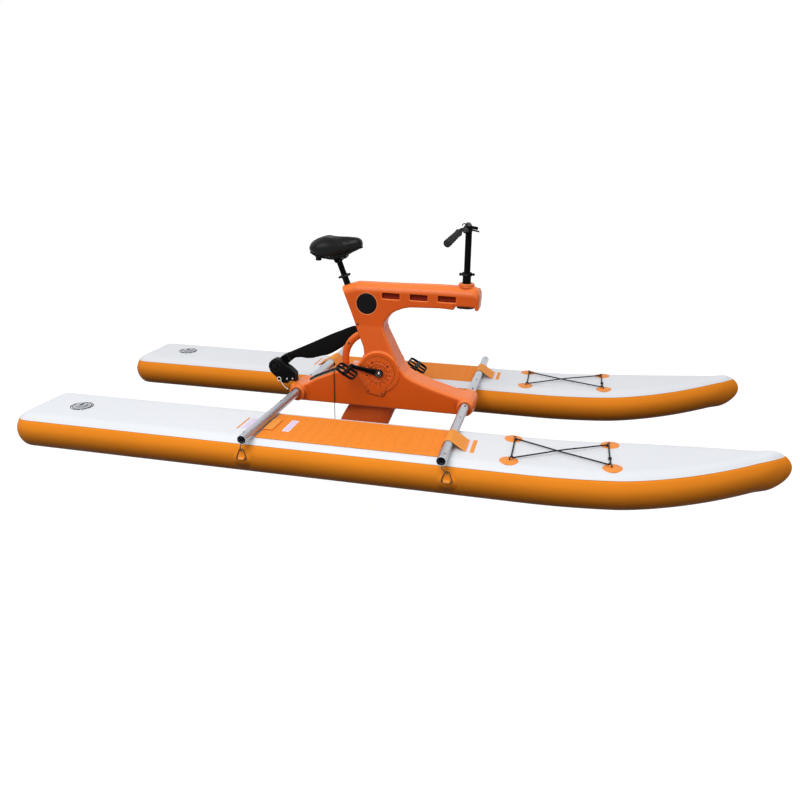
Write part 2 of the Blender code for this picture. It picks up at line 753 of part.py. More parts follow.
def cover_seat(hand):
    """The recess for a gear cover, cut back to the frame's side."""
    low, high = sorted((hand * BODY_HALF, hand * (RING_FACE + 0.010)))
    return prism_y(cover_outline(0.0012), low, high)


DISC_CENTER = (-0.085, 0.788)
DISC_RADIUS = 0.060
DISC_SIDES = 24


def disc_seat(hand):
    """The round recess for a side disc, with a bevelled rim."""
    center = Vector((DISC_CENTER[0], hand * (BEAM_HALF - 0.004), DISC_CENTER[1]))
    profile = [(0.0, DISC_RADIUS + 0.001), (0.0025, DISC_RADIUS + 0.001), (0.0055, DISC_RADIUS + 0.0045)]
    profile.append((0.020, DISC_RADIUS + 0.0045))
    return turned(profile, center, (0, hand, 0), DISC_SIDES)


def beam_slots(hand):
    """Three rectangular recesses with bevelled lips in the top beam's side."""
    slots = []
    for start in (0.008, 0.171, 0.333):
        end = start + 0.101
        rings = []
        for depth, grow in ((-0.010, 0.003), (0.0002, 0.003), (0.0035, 0.0), (0.020, -0.001)):
            corners = ((start - grow, 0.825 - grow), (end + grow, 0.823 - grow),
                       (end + grow, 0.854 + grow), (start - grow, 0.856 + grow))
            rings.append([Vector((x, hand * (BEAM_HALF - depth), z)) for x, z in corners])
        slots.append(loft(rings))
    return join(*slots)


def post_hollow(hand):
    """The three-cornered hollow in the beam's rounded edge beside the handlebar post."""
    shape = bmesh.new()
    corners = [(0.450, 0.0680, 0.920), (0.532, 0.0680, 0.914), (0.484, 0.0680, 0.870), (0.490, 0.0400, 0.920)]
    verts = [shape.verts.new((x, hand * y, z)) for x, y, z in corners]
    for first, second, third in ((0, 1, 2), (0, 1, 3), (1, 2, 3), (2, 0, 3)):
        shape.faces.new((verts[first], verts[second], verts[third]))
    face_outward(shape)
    return shape


def boss(x):
    def one(hand):
        center = Vector((x, hand * (BODY_HALF - 0.02), 0.214 if x > 0 else 0.216))
        reach = BOSS_FACE - BODY_HALF + 0.02
        return turned([(0.0, 0.052), (reach, 0.047)], center, (0, hand, 0), 18)

    return one


SHAFT_AXIS = Vector((-math.sin(SHAFT_TILT), 0.0, -math.cos(SHAFT_TILT)))
CRANK_CENTER = Vector((0.0, 0.0, CRANK_Z))
SEAT_AXIS = Vector((-math.sin(SEAT_TILT), 0.0, math.cos(SEAT_TILT)))
CHAMBER_RADIUS = 0.080
SEAT_POST_RADIUS = 0.0135
SLEEVE_RADIUS = 0.0190      # the collar's sleeve, let into the frame
SLEEVE_DEPTH = 0.045
STEERER_RADIUS = 0.0205


def arch_path():
    """Centre line of the hand loop between the column and the lower beam."""
    guide = [(-0.110, 0.600), (-0.160, 0.576), (-0.198, 0.543)]
    guide += [(-0.224, 0.500), (-0.236, 0.450), (-0.238, 0.350)]
    return smooth_path([(x, 0.0, z) for x, z in guide], 2)


def make_frame():
    thing = make_object("main_body", body_blank(), (ORANGE_HULL, 0.42))
    bevelled(thing, 0.030, 3)
    thing.modifiers["rounding"].limit_method = "WEIGHT"
    fuse(thing, both_sides(ring_raise), both_sides(boss(TUBE_X)), both_sides(boss(-TUBE_X)))
    head = [(0.0, 0.048), (0.046, 0.046), (0.053, 0.043), (0.054, 0.036), (0.049, 0.030)]
    fuse(thing, turned(head, (STEER_X, 0.0, 0.874), (0, 0, 1), 20))
    fuse(thing, swept(arch_path(), 0.0235, 0.0180, 10))
    cut(thing, both_sides(post_hollow))
    cut(thing, both_sides(cover_seat), both_sides(disc_seat), both_sides(beam_slots))
    cut(thing, rod((0.0, -0.2, CRANK_Z), (0.0, 0.2, CRANK_Z), CHAMBER_RADIUS, 20))
    for x, _ in ENDS:
        cut(thing, bore((x, -0.3, TUBE_Z), (x, 0.3, TUBE_Z), TUBE_RADIUS, TUBE_SIDES))
    cut(thing, rod(CRANK_CENTER + SHAFT_AXIS * 0.05, CRANK_CENTER + SHAFT_AXIS * 0.30, 0.030, 16))
    cut(thing, bore((STEER_X, 0, 0.70), (STEER_X, 0, 1.00), STEERER_RADIUS, 16))
    above = SEAT_FOOT + SEAT_AXIS * 0.10
    cut(thing, bore(SEAT_FOOT - SEAT_AXIS * 0.240, above, SEAT_POST_RADIUS, 16))
    cut(thing, bore(SEAT_FOOT - SEAT_AXIS * (SLEEVE_DEPTH + GAP), above, SLEEVE_RADIUS, 16))
    return thing


def make_gear_cover(hand, name):
    """A gear cover with a bearing hub inside, concentric rings and radial ribs outside, and five screws."""
    inner = BODY_HALF + GAP
    outer = RING_FACE + 0.0010
    low, high = sorted((hand * inner, hand * outer))
    thing = make_object(f"{name}_gear_cover", prism_y(cover_outline(0.0), low, high), (ORANGE_HULL, 0.45))
    hub_start = Vector((0.0, hand * 0.0655, CRANK_Z))
    fuse(thing, rod(hub_start, hub_start + Vector((0, hand * 0.022, 0)), 0.030, 16))
    center = Vector((COVER_CENTER[0], hand * (outer - 0.001), COVER_CENTER[1]))
    band = hollow_rod(center, center + Vector((0, hand * 0.0035, 0)), 0.057, 0.054, 18)
    fuse(thing, band)
    ribs = []
    for step in range(8):
        angle = math.radians(22.5 + 45.0 * step)
        across = Vector((math.cos(angle), 0.0, math.sin(angle)))
        side = Vector((-math.sin(angle), 0.0, math.cos(angle))) * 0.0012
        start, end = center + across * 0.058, center + across * 0.084
        top = Vector((0.0, hand * 0.0030, 0.0))
        ribs.append(
            loft([[end_point - side, end_point + side, end_point + side + top, end_point - side + top]
                  for end_point in (start, end)])
        )
    for rib in ribs:
        fuse(thing, rib)
    hub_out = [(0.0, 0.026), (0.0030, 0.024)]
    fuse(thing, turned(hub_out, (0.0, hand * (outer - 0.001), CRANK_Z), (0, hand, 0), 20))
    for x, z in cover_screws():
        profile = [(0.0, 0.0046), (0.0028, 0.0040)]
        fuse(thing, turned(profile, (x, hand * (outer - 0.0005), z), (0, hand, 0), 8))
    cut(thing, bore((0, hand * 0.05, CRANK_Z), (0, hand * 0.0830, CRANK_Z), 0.0210, 16))
    cut(thing, rod((0, hand * 0.07, CRANK_Z), (0, hand * 0.12, CRANK_Z), 0.0135, 20))
    return thing


def cover_screws():
    """Screw places on a gear cover: three on the disc and two on the tab."""
    places = []
    for angle in (118.0, 40.0, 196.0):
        turn = math.radians(angle)
        places.append((COVER_CENTER[0] + 0.072 * math.cos(turn), COVER_CENTER[1] + 0.072 * math.sin(turn)))
    return places + [(-0.068, 0.268), (0.017, 0.256)]


def make_side_disc(hand, name):
    """The plain black disc that closes the moulding opening at the top of the column."""
    start = Vector((DISC_CENTER[0], hand * (BEAM_HALF - 0.004 + GAP), DISC_CENTER[1]))
    profile = [(0.0, DISC_RADIUS), (0.0040, DISC_RADIUS)]
    profile += [(0.0058, DISC_RADIUS - 0.003), (0.0064, DISC_RADIUS - 0.012)]
    return make_object(f"{name}_side_disc", turned(profile, start, (0, hand, 0), DISC_SIDES), (BLACK, 0.5))


# Drive leg, gears, shafts and propeller

POD_CENTER = CRANK_CENTER + SHAFT_AXIS * ((CRANK_Z - POD_Z) / math.cos(SHAFT_TILT))
POD_REAR = POD_CENTER.x - 0.215
LEG_TOP_Z = 0.1585


def leg_ring(z, rear, front, half):
    """A blunt-nosed, sharp-tailed section of the leg at one height."""
    chord = front - rear
    ring = []
    count = 20
    for step in range(count):
        angle = 2.0 * math.pi * step / count
        along = 0.5 * (1.0 + math.cos(angle))
        thick = math.sin(angle) * (0.55 + 0.45 * along)
        ring.append(Vector((rear + chord * along, half * thick, z)))
    return ring


def make_drive_leg():
    """The swept leg under the frame, with the gear pod at its foot."""
    sections = (
        (LEG_TOP_Z, -0.205, 0.098, 0.050),
        (0.120, -0.231, 0.073, 0.046),
        (0.060, -0.264, 0.048, 0.041),
        (0.000, -0.291, 0.022, 0.037),
        (-0.080, -0.312, -0.012, 0.034),
        (-0.160, -0.318, -0.045, 0.031),
        (-0.235, -0.312, -0.068, 0.028),
        (POD_Z, -0.292, -0.075, 0.020),
    )
    thing = make_object("drive_leg", loft([leg_ring(*section) for section in sections]), (ORANGE_HULL, 0.45))
    nose = 0.125
    length = nose + POD_CENTER.x - POD_REAR
    pod = ((0.0, 0.16), (0.012, 0.45), (0.035, 0.74), (0.070, 0.94), (0.105, 1.0))
    pod += ((length - 0.02, 0.98), (length, 0.93))
    profile = [(along, POD_RADIUS * share) for along, share in pod]
    fuse(thing, turned(profile, (POD_CENTER.x + nose, 0.0, POD_Z), (-1, 0, 0), 18))
    cut(thing, rod((POD_CENTER.x + 0.040, 0, POD_Z), (POD_REAR - 0.05, 0, POD_Z), 0.0340, 18))
    cut(thing, rod(CRANK_CENTER + SHAFT_AXIS * 0.10, POD_CENTER, 0.0130, 18))
    return thing


def bevel_gear(apex, axis, teeth, cone, cone_distance, face, hub, hub_radius, phase_to, offset):
    """A straight bevel gear. Teeth taper to the apex; phase_to points at the mating gear."""
    axis = Vector(axis).normalized()
    side = (Vector(phase_to) - axis * Vector(phase_to).dot(axis)).normalized()
    other = axis.cross(side)
    step = 2.0 * math.pi / teeth
    module = 2.0 * cone_distance * math.sin(cone) / teeth
    rings = []
    for distance in (cone_distance, cone_distance - face):
        scale = distance / cone_distance
        tip = cone + math.atan(0.80 * module / cone_distance)
        root = cone - math.atan(1.10 * module / cone_distance)
        ring = []
        for tooth in range(teeth):
            middle = (tooth + offset) * step
            for share, slant in ((-0.30, root), (-0.115, tip), (0.115, tip), (0.30, root)):
                angle = middle + share * step
                reach = cone_distance / math.cos(slant - cone) * scale
                radial = side * math.cos(angle) + other * math.sin(angle)
                ring.append(apex + axis * (reach * math.cos(slant)) + radial * (reach * math.sin(slant)))
        rings.append(ring)
    back = cone_distance * math.cos(cone) + hub
    shape = bmesh.new()
    rows = [[shape.verts.new(point) for point in ring] for ring in rings]
    count = len(rows[0])
    hub_row = []
    for index in range(count):
        tooth, corner = divmod(index, 4)
        angle = (tooth + offset) * step + (-0.30, -0.115, 0.115, 0.30)[corner] * step
        radial = side * math.cos(angle) + other * math.sin(angle)
        hub_row.append(shape.verts.new(apex + axis * back + radial * hub_radius))
    bridge(shape, rows[1], rows[0])
    bridge(shape, rows[0], hub_row)
    shape.faces.new(hub_row)
    shape.faces.new(rows[1])
    face_outward(shape)
    return shape


GEAR_TEETH = 24
PINION_TEETH = 8
UPPER_DISTANCE = 0.0700
FOOT_TEETH = 12
SCREW_TEETH = 10
LOWER_DISTANCE = 0.0330
LOWER_ANGLE = math.pi / 2.0 + SHAFT_TILT
GEAR_CONE = math.atan(GEAR_TEETH / PINION_TEETH)
FOOT_CONE = math.atan(math.sin(LOWER_ANGLE) / (SCREW_TEETH / FOOT_TEETH + math.cos(LOWER_ANGLE)))
AXLE_RADIUS = 0.0100


def make_crank_axle():
    """The axle across the frame, with square ends for the cranks and a shoulder for the gear."""
    half = 0.1130
    taper = 0.0165
    profile = [(0.0, 0.0075), (taper, 0.0088), (taper, AXLE_RADIUS), (0.100, AXLE_RADIUS), (0.100, 0.0125)]
    profile += [(0.108, 0.0125), (0.108, AXLE_RADIUS), (2 * half - taper, AXLE_RADIUS)]
    profile += [(2 * half - taper, 0.0088), (2 * half, 0.0075)]
    shape = turned(profile, (0, -half, CRANK_Z), (0, 1, 0), 16)
    return make_object("crank_axle", shape, (STEEL, 0.35, 1.0), CRANK_CENTER)


def make_drive_gear():
    """The large bevel gear on the crank axle, on the left of the centre line."""
    shape = bevel_gear(
        CRANK_CENTER, (0, 1, 0), GEAR_TEETH, GEAR_CONE, UPPER_DISTANCE, 0.018, 0.012, 0.036, SHAFT_AXIS, 0.0
    )
    thing = make_object("drive_gear", shape, (STEEL, 0.4, 1.0), CRANK_CENTER)
    cut(thing, bore((0, -0.05, CRANK_Z), (0, 0.1, CRANK_Z), AXLE_RADIUS, 16))
    return thing


def make_bearing(hand, name):
    low, high = sorted((hand * 0.0690, hand * 0.0820))
    shape = hollow_rod((0, low, CRANK_Z), (0, high, CRANK_Z), 0.0210, AXLE_RADIUS, 20)
    thing = make_object(f"{name}_axle_bearing", shape, (STEEL, 0.25, 1.0))
    return thing


def make_drive_shaft():
    """The leaning shaft with a pinion at its head and a bevel gear at its foot."""
    length = (POD_CENTER - CRANK_CENTER).length
    pinion_back = UPPER_DISTANCE * math.sin(GEAR_CONE) + 0.010
    foot_back = LOWER_DISTANCE * math.cos(FOOT_CONE) + 0.006
    start = CRANK_CENTER + SHAFT_AXIS * (pinion_back - 0.004)
    end = CRANK_CENTER + SHAFT_AXIS * (length - foot_back + 0.003)
    thing = make_object("drive_shaft", rod(start, end, 0.0065, 16), (STEEL, 0.35, 1.0), CRANK_CENTER)
    pinion_cone = math.pi / 2 - GEAR_CONE
    pinion = bevel_gear(
        CRANK_CENTER, SHAFT_AXIS, PINION_TEETH, pinion_cone, UPPER_DISTANCE,
        0.018, 0.010, 0.012, (0, 1, 0), 0.5,
    )
    foot = bevel_gear(
        POD_CENTER, -SHAFT_AXIS, FOOT_TEETH, FOOT_CONE, LOWER_DISTANCE, 0.011, 0.006, 0.012, (-1, 0, 0), 0.0
    )
    fuse(thing, pinion, foot)
    return thing


PROP_HUB_START = POD_REAR - 0.004


def make_propeller_shaft():
    """The horizontal shaft with its bevel gear, threaded at the tail for the propeller."""
    cone = LOWER_ANGLE - FOOT_CONE
    back = LOWER_DISTANCE * math.cos(cone)
    start = (POD_CENTER.x - back - 0.003, 0.0, POD_Z)
    end = (PROP_HUB_START - 0.040, 0.0, POD_Z)
    thing = make_object("propeller_shaft", rod(start, end, 0.0060, 16), (STEEL, 0.3, 1.0), POD_CENTER)
    gear = bevel_gear(
        POD_CENTER, (-1, 0, 0), SCREW_TEETH, cone, LOWER_DISTANCE, 0.011, 0.006, 0.011, -SHAFT_AXIS, 0.5
    )
    fuse(thing, gear)
    return thing


def make_pod_seal():
    """The bearing carrier that closes the pod round the propeller shaft."""
    start = Vector((POD_REAR + 0.030, 0.0, POD_Z))
    shape = hollow_rod(start, (POD_REAR + 0.001, 0.0, POD_Z), 0.0334, 0.0060, 18)
    return make_object("pod_seal", shape, (BLACK, 0.5))


PROPELLER_RADIUS = 0.150
BLADES = 2


def propeller_blade(turn):
    """A twisted blade whose pitch flattens toward its tip."""
    rings = []
    for step in range(6):
        share = step / 5.0
        radius = 0.012 + (PROPELLER_RADIUS - 0.012) * share
        twist = math.atan(0.26 / (2.0 * math.pi * max(radius, 0.02)))
        half_chord = 0.030 * math.sqrt(max(0.03, 1.0 - (share - 0.35) ** 2 / 0.45))
        half_thick = 0.0042 - 0.0026 * share
        ring = []
        for corner in range(8):
            angle = 2.0 * math.pi * corner / 8
            along, through = half_chord * math.cos(angle), half_thick * math.sin(angle)
            across = along * math.cos(twist) - through * math.sin(twist)
            forward = along * math.sin(twist) + through * math.cos(twist)
            ring.append(Vector((forward, across, radius)))
        rings.append(ring)
    shape = loft(rings)
    place = Matrix.Translation((PROP_HUB_START - 0.022, 0.0, POD_Z)) @ Matrix.Rotation(turn, 4, "X")
    return moved(shape, place)


def make_propeller():
    profile = [(0.0, 0.020), (0.003, 0.022), (0.044, 0.021), (0.060, 0.017), (0.074, 0.008)]
    origin = (PROP_HUB_START, 0.0, POD_Z)
    thing = make_object("propeller", turned(profile, origin, (-1, 0, 0), 20), (BLACK, 0.4), POD_CENTER)
    for blade in range(BLADES):
        fuse(thing, propeller_blade(2.0 * math.pi * blade / BLADES))
    cut(thing, bore((PROP_HUB_START + 0.01, 0, POD_Z), (PROP_HUB_START - 0.042, 0, POD_Z), 0.0060, 16))
    return thing


# Cranks and pedals

def crank_end(hand):
    reach = Vector((math.cos(CRANK_REST), 0.0, -math.sin(CRANK_REST))) * CRANK_LENGTH
    return CRANK_CENTER + reach * hand


def make_crank(hand, name):
    """A tapered crank arm with its hub and the pedal's axle screwed into its end."""
    end = crank_end(hand)
    along = (end - CRANK_CENTER).normalized()
    angle = math.degrees(math.atan2(along.z, along.x))
    outline = arc((0.0, CRANK_Z), 0.0185, angle + 80.0, angle + 280.0, 10)
    outline += arc((end.x, end.z), 0.0145, angle - 84.0, angle + 84.0, 8)
    low, high = sorted((hand * CRANK_INNER, hand * CRANK_OUTER))
    thing = make_object(f"{name}_crank", prism_y(outline, low, high), (BLACK, 0.35), CRANK_CENTER)
    bevelled(thing, 0.0025, 1)
    cut(thing, turned([(0.0, 0.0092), (0.0170, 0.0092)],
                      (0, hand * (CRANK_INNER - 0.001), CRANK_Z), (0, hand, 0), 16))
    bolt = Vector((0, hand * (CRANK_OUTER - 0.0018), CRANK_Z))
    fuse(thing, turned([(0.0, 0.0125), (0.003, 0.0125), (0.005, 0.0105)], bolt, (0, hand, 0), 20))
    cut(thing, rod(bolt + Vector((0, hand * 0.003, 0)), bolt + Vector((0, hand * 0.02, 0)), 0.0055, 6))
    start = Vector((end.x, hand * (CRANK_OUTER - 0.010), end.z))
    axle = [(0.0, 0.0070), (0.010, 0.0070), (0.010, 0.0090), (0.016, 0.0090)]
    axle += [(0.016, 0.0060), (0.106, 0.0050)]
    fuse(thing, turned(axle, start, (0, hand, 0), 12))
    return thing


def make_pedal(hand, name):
    """A caged platform pedal: an open frame of bars round a barrel that turns on the axle."""
    end = crank_end(hand)
    middle = Vector((end.x, hand * PEDAL_Y, end.z))
    half_x, half_y, half_z = 0.050, 0.046, 0.0095
    corner_x, corner_y = half_x * 0.72, half_y * 0.62
    outline = [
        (-half_x, -corner_y), (-corner_x, -half_y), (corner_x, -half_y), (half_x, -corner_y),
        (half_x, corner_y), (corner_x, half_y), (-corner_x, half_y), (-half_x, corner_y),
    ]
    plate = prism_z(outline, -half_z, half_z)
    tilt = Matrix.Translation(middle) @ Matrix.Rotation(math.radians(14.0), 4, "Y")
    thing = make_object(f"{name}_pedal", moved(plate, tilt), (BLACK, 0.5), middle)
    windows = []
    for side in (-1, 1):
        for row in (-1, 1):
            low_x, high_x = sorted((side * 0.0165, side * 0.0425))
            low_y, high_y = sorted((row * 0.004, row * 0.036))
            windows.append(box((low_x, low_y, -0.02), (high_x, high_y, 0.02)))
    cut(thing, moved(join(*windows), tilt))
    fuse(thing, rod(middle - Vector((0, 0.0445, 0)), middle + Vector((0, 0.0445, 0)), 0.0115, 18))
    bore = [(0.0, 0.0074), (0.012, 0.0070), (0.090, 0.0062)]
    cut(thing, turned(bore, middle - Vector((0, hand * 0.047, 0)), (0, hand, 0), 16))
    return thing


# Seat

def make_seat_post():
    """The straight post with a small head on top that carries the rail clamp."""
    start = SEAT_FOOT - SEAT_AXIS * 0.185
    head = SEAT_FOOT + SEAT_AXIS * SEAT_HEAD
    top = head + SEAT_AXIS * 0.006
    thing = make_object("seat_post", rod(start, top, SEAT_POST_RADIUS, 16), (BLACK, 0.35), start)
    fuse(thing, rod(head - Vector((0, 0.020, 0)), head + Vector((0, 0.020, 0)), SEAT_HEAD_RADIUS, 18))
    return thing


SEAT_HEAD = 0.131           # from the frame's top up to the head, along the post
SEAT_HEAD_RADIUS = 0.0125


CLAMP_HEIGHT = 0.020
LUG_RADIUS = 0.0072


def add_clamp(thing, frame, ring, inside, reach):
    """A split clamp ring with a lug on each side, along the post; the frame's +X points at the lever."""
    bottom, top = Vector((0, 0, -CLAMP_HEIGHT / 2)), Vector((0, 0, CLAMP_HEIGHT / 2))
    fuse(thing, moved(hollow_rod(bottom, top, ring, inside, 16), frame))
    for turn in (-1, 1):
        low_x, high_x = sorted((turn * (ring - 0.003), turn * reach))
        fuse(thing, moved(box((low_x, -0.0062, -0.0065), (high_x, 0.0062, 0.0065)), frame))
        fuse(thing, moved(rod((turn * reach, -0.0068, 0), (turn * reach, 0.0068, 0), LUG_RADIUS, 10), frame))
    cut(thing, moved(bore((reach, -0.02, 0), (reach, 0.02, 0), LEVER_PIN, 12), frame))
    cut(thing, moved(box((-reach - 0.02, -0.0008, -0.03), (-ring + 0.0055, 0.0008, 0.03)), frame))


LEVER_PIN = 0.0025


def cam_lever(name, frame, reach, ring):
    """A closed quick-release lever: pin, cam, and a handle that curves round the clamp."""
    pivot = Vector((reach, 0.0, 0.0))
    shape = moved(rod(pivot + Vector((0, 0.0092, 0)), pivot - Vector((0, 0.013, 0)), LEVER_PIN, 10), frame)
    thing = make_object(name, shape, (BLACK, 0.4), frame @ pivot)
    cam = pivot - Vector((0, 0.0072, 0))
    fuse(thing, moved(rod(cam, cam - Vector((0, 0.009, 0)), 0.0085, 14), frame))
    clear = ring + 0.0042
    handle = [(reach, 0.0117), (reach - 0.014, clear * 0.80)]
    handle += [(reach - 0.028, clear), (reach - 0.042, clear * 0.98)]
    path = smooth_path([(x, -y, 0.0) for x, y in handle], 2)
    fuse(thing, moved(swept(path, 0.0024, 0.0045, 8, Vector((0.0, 0.0, 1.0))), frame))
    return thing


SEAT_CLAMP = 0.032          # up the post from the frame's top
SEAT_CLAMP_RING = 0.0215
SEAT_CLAMP_REACH = 0.0315


def seat_clamp_frame():
    return Matrix.Translation(SEAT_FOOT + SEAT_AXIS * SEAT_CLAMP) @ Matrix.Rotation(-SEAT_TILT, 4, "Y")


def make_seat_collar():
    """The sleeve and split clamp on the frame, round the seat post."""
    shape = hollow_rod(SEAT_FOOT - SEAT_AXIS * SLEEVE_DEPTH, SEAT_FOOT + SEAT_AXIS * 0.038,
                       SLEEVE_RADIUS, SEAT_POST_RADIUS, 16)
    thing = make_object("seat_collar", shape, (BLACK, 0.4))
    add_clamp(thing, seat_clamp_frame(), SEAT_CLAMP_RING, SEAT_POST_RADIUS + 0.002, SEAT_CLAMP_REACH)
    return thing


def make_seat_lever():
    return cam_lever("seat_lever", seat_clamp_frame(), SEAT_CLAMP_REACH, SEAT_CLAMP_RING)


def saddle_ring(x, half, top, bottom):
    """A saddle cross-section: domed top, drawn-in sides and a flatter underside."""
    middle = bottom + 0.40 * (top - bottom)
    ring = []
    count = 20
    for step in range(count):
        angle = 2.0 * math.pi * step / count
        across, up = math.cos(angle), math.sin(angle)
        squareness = 0.80 if up > 0 else 0.62
        reach = top - middle if up > 0 else middle - bottom
        y = half * math.copysign(abs(across) ** squareness, across)
        z = middle + reach * math.copysign(abs(up) ** squareness, up)
        ring.append(Vector((x, y, z)))
    return ring


SADDLE_SECTIONS = (
    # station x, half width, crown height, lower edge
    (-0.430, 0.054, 1.104, 1.066),
    (-0.424, 0.078, 1.120, 1.060),
    (-0.406, 0.097, 1.134, 1.052),
    (-0.376, 0.108, 1.148, 1.043),
    (-0.338, 0.107, 1.158, 1.035),
    (-0.300, 0.093, 1.159, 1.032),
    (-0.262, 0.070, 1.155, 1.040),
    (-0.226, 0.051, 1.152, 1.050),
    (-0.186, 0.042, 1.153, 1.070),
    (-0.155, 0.037, 1.148, 1.079),
    (-0.135, 0.029, 1.137, 1.087),
    (-0.126, 0.014, 1.122, 1.096),
)
# the cushion's lower edge and the base shell's upper face, from rear to nose, as (x, z)
SADDLE_SEAM = (
    (-0.500, 1.076), (-0.424, 1.071), (-0.376, 1.062), (-0.300, 1.047), (-0.262, 1.050),
    (-0.226, 1.058), (-0.186, 1.078), (-0.155, 1.087), (-0.080, 1.096),
)


def saddle_underside(x):
    """Height of the base shell's upper face: it dips under the sitter and rises toward the nose."""
    for (start, low), (end, high) in zip(SADDLE_SEAM, SADDLE_SEAM[1:]):
        if x <= end:
            return low + (high - low) * (x - start) / (end - start)
    return SADDLE_SEAM[-1][1]


def make_saddle_cushion():
    rings = [saddle_ring(*section) for section in SADDLE_SECTIONS]
    thing = make_object("saddle_cushion", loft(rings), (BLACK, 0.45), smooth_angle=80.0)
    # the underside is cut where the base shell meets it
    outline = [(SADDLE_SEAM[0][0], 0.9), *SADDLE_SEAM, (SADDLE_SEAM[-1][0], 0.9)]
    cut(thing, prism_y(outline, -0.2, 0.2))
    return thing


BUMPER_X = -0.375
BUMPER_Y = 0.052
RAIL_Y = 0.0285
RAIL_RADIUS = 0.0035
RAIL_STOP_X = -0.216        # rear face of the blocks that take the rails' front ends


def base_depth(x):
    """The base shell is deep at the rear and shallow over the post's clamp."""
    return 0.012 if x < -0.36 else 0.0055


def make_saddle_base():
    """The plastic shell under the cushion, with two rubber bumpers at the rear."""
    rings = []
    for x, half, _, _ in SADDLE_SECTIONS[1:-1]:
        top = saddle_underside(x) - GAP
        row = []
        for step in range(11):
            angle = math.pi + math.pi * step / 10.0
            row.append(Vector((x, half * 0.88 * math.cos(angle), top + base_depth(x) * math.sin(angle))))
        rings.append(row)
    thing = make_object("saddle_base", loft(rings), (BLACK, 0.5), smooth_angle=60.0)
    for side in (-1, 1):
        start = Vector((BUMPER_X, side * BUMPER_Y, saddle_underside(BUMPER_X) - 0.006))
        profile = [(0.0, 0.018), (0.008, 0.019), (0.015, 0.015), (0.020, 0.018), (0.026, 0.015)]
        fuse(thing, turned(profile, start, (0, 0, -1), 12))
        low = (RAIL_STOP_X, side * 0.022 - 0.008, 1.040)
        top = saddle_underside(RAIL_STOP_X) - 0.002
        fuse(thing, box(low, (RAIL_STOP_X + 0.016, side * 0.022 + 0.008, top)))
    return thing


def make_saddle_rails():
    """Two round rails bent down under the saddle, held by a two-bolt clamp on the post's head."""
    head = SEAT_FOOT + SEAT_AXIS * SEAT_HEAD
    rails = []
    for side in (-1, 1):
        guide = [(-0.368, 1.0447), (-0.348, 1.0345), (-0.315, head.z + 0.004), (-0.245, head.z + 0.004)]
        guide += [(-0.230, 1.037), (RAIL_STOP_X - 0.0030, 1.0475)]
        path = smooth_path([(x, side * RAIL_Y, z) for x, z in guide], 2)
        rails.append(swept(path, RAIL_RADIUS, RAIL_RADIUS, 6))
    clamp_low = Vector((head.x, -0.036, head.z))
    shape = hollow_rod(clamp_low, clamp_low + Vector((0, 0.072, 0)), 0.0165, SEAT_HEAD_RADIUS, 16)
    thing = make_object("saddle_rails", shape, (BLACK, 0.35))
    cut(thing, rod(head - SEAT_AXIS * 0.05, head + SEAT_AXIS * 0.010, SEAT_POST_RADIUS + 0.0015, 16))
    fuse(thing, *rails)
    return thing


# Handlebar and steering

HEAD_TOP = 0.988
BAR_POST_RADIUS = 0.0155
BAR_CLAMP_RING = 0.0245
BAR_CLAMP_REACH = 0.0345


def bar_clamp_frame():
    """On the steerer's top, with the lever behind it."""
    return Matrix.Translation((STEER_X, 0.0, HEAD_TOP - 0.012)) @ Matrix.Scale(-1.0, 4, (1, 0, 0))


def make_steerer():
    """The outer steering tube, with a clamp at its top."""
    shape = hollow_rod((STEER_X, 0, 0.815), (STEER_X, 0, HEAD_TOP), STEERER_RADIUS, BAR_POST_RADIUS, 18)
    thing = make_object("steerer", shape, (BLACK, 0.4), (STEER_X, 0, 0.815))
    add_clamp(thing, bar_clamp_frame(), BAR_CLAMP_RING, BAR_POST_RADIUS + 0.002, BAR_CLAMP_REACH)
    return thing


def make_bar_lever():
    return cam_lever("bar_lever", bar_clamp_frame(), BAR_CLAMP_REACH, BAR_CLAMP_RING)


STEM_Z = 1.222


def make_bar_post():
    start = (STEER_X, 0, 0.855)
    shape = rod(start, (STEER_X, 0, STEM_Z - 0.0190), BAR_POST_RADIUS, 16)
    return make_object("bar_post", shape, (BLACK, 0.35), start)


BAR_X = STEER_X - 0.004
BAR_PATH = (
    (BAR_X, 0.0, STEM_Z), (BAR_X, 0.040, STEM_Z), (BAR_X - 0.004, 0.090, STEM_Z + 0.006),
    (BAR_X - 0.015, 0.144, STEM_Z + 0.011), (BAR_X - 0.024, 0.180, STEM_Z + 0.001),
    (BAR_X - 0.059, 0.325, STEM_Z - 0.039),
)
BAR_RADIUS = 0.0111


def bar_half(hand):
    return smooth_path([(x, hand * y, z) for x, y, z in BAR_PATH], 2)


def make_handlebar():
    """One bent tube, swept back and down toward the grips."""
    path = bar_half(RIGHT)[::-1] + bar_half(LEFT)[1:]
    rings = []
    for index, point in enumerate(path):
        before = path[max(index - 1, 0)]
        after = path[min(index + 1, len(path) - 1)]
        along = (after - before).normalized()
        first = along.cross(Vector((0, 0, 1))).normalized()
        second = first.cross(along)
        ring = []
        for step in range(10):
            angle = 2.0 * math.pi * step / 10
            ring.append(point + (first * math.cos(angle) + second * math.sin(angle)) * BAR_RADIUS)
        rings.append(ring)
    return make_object("handlebar", loft(rings), (BLACK, 0.3), (STEER_X, 0, STEM_Z))


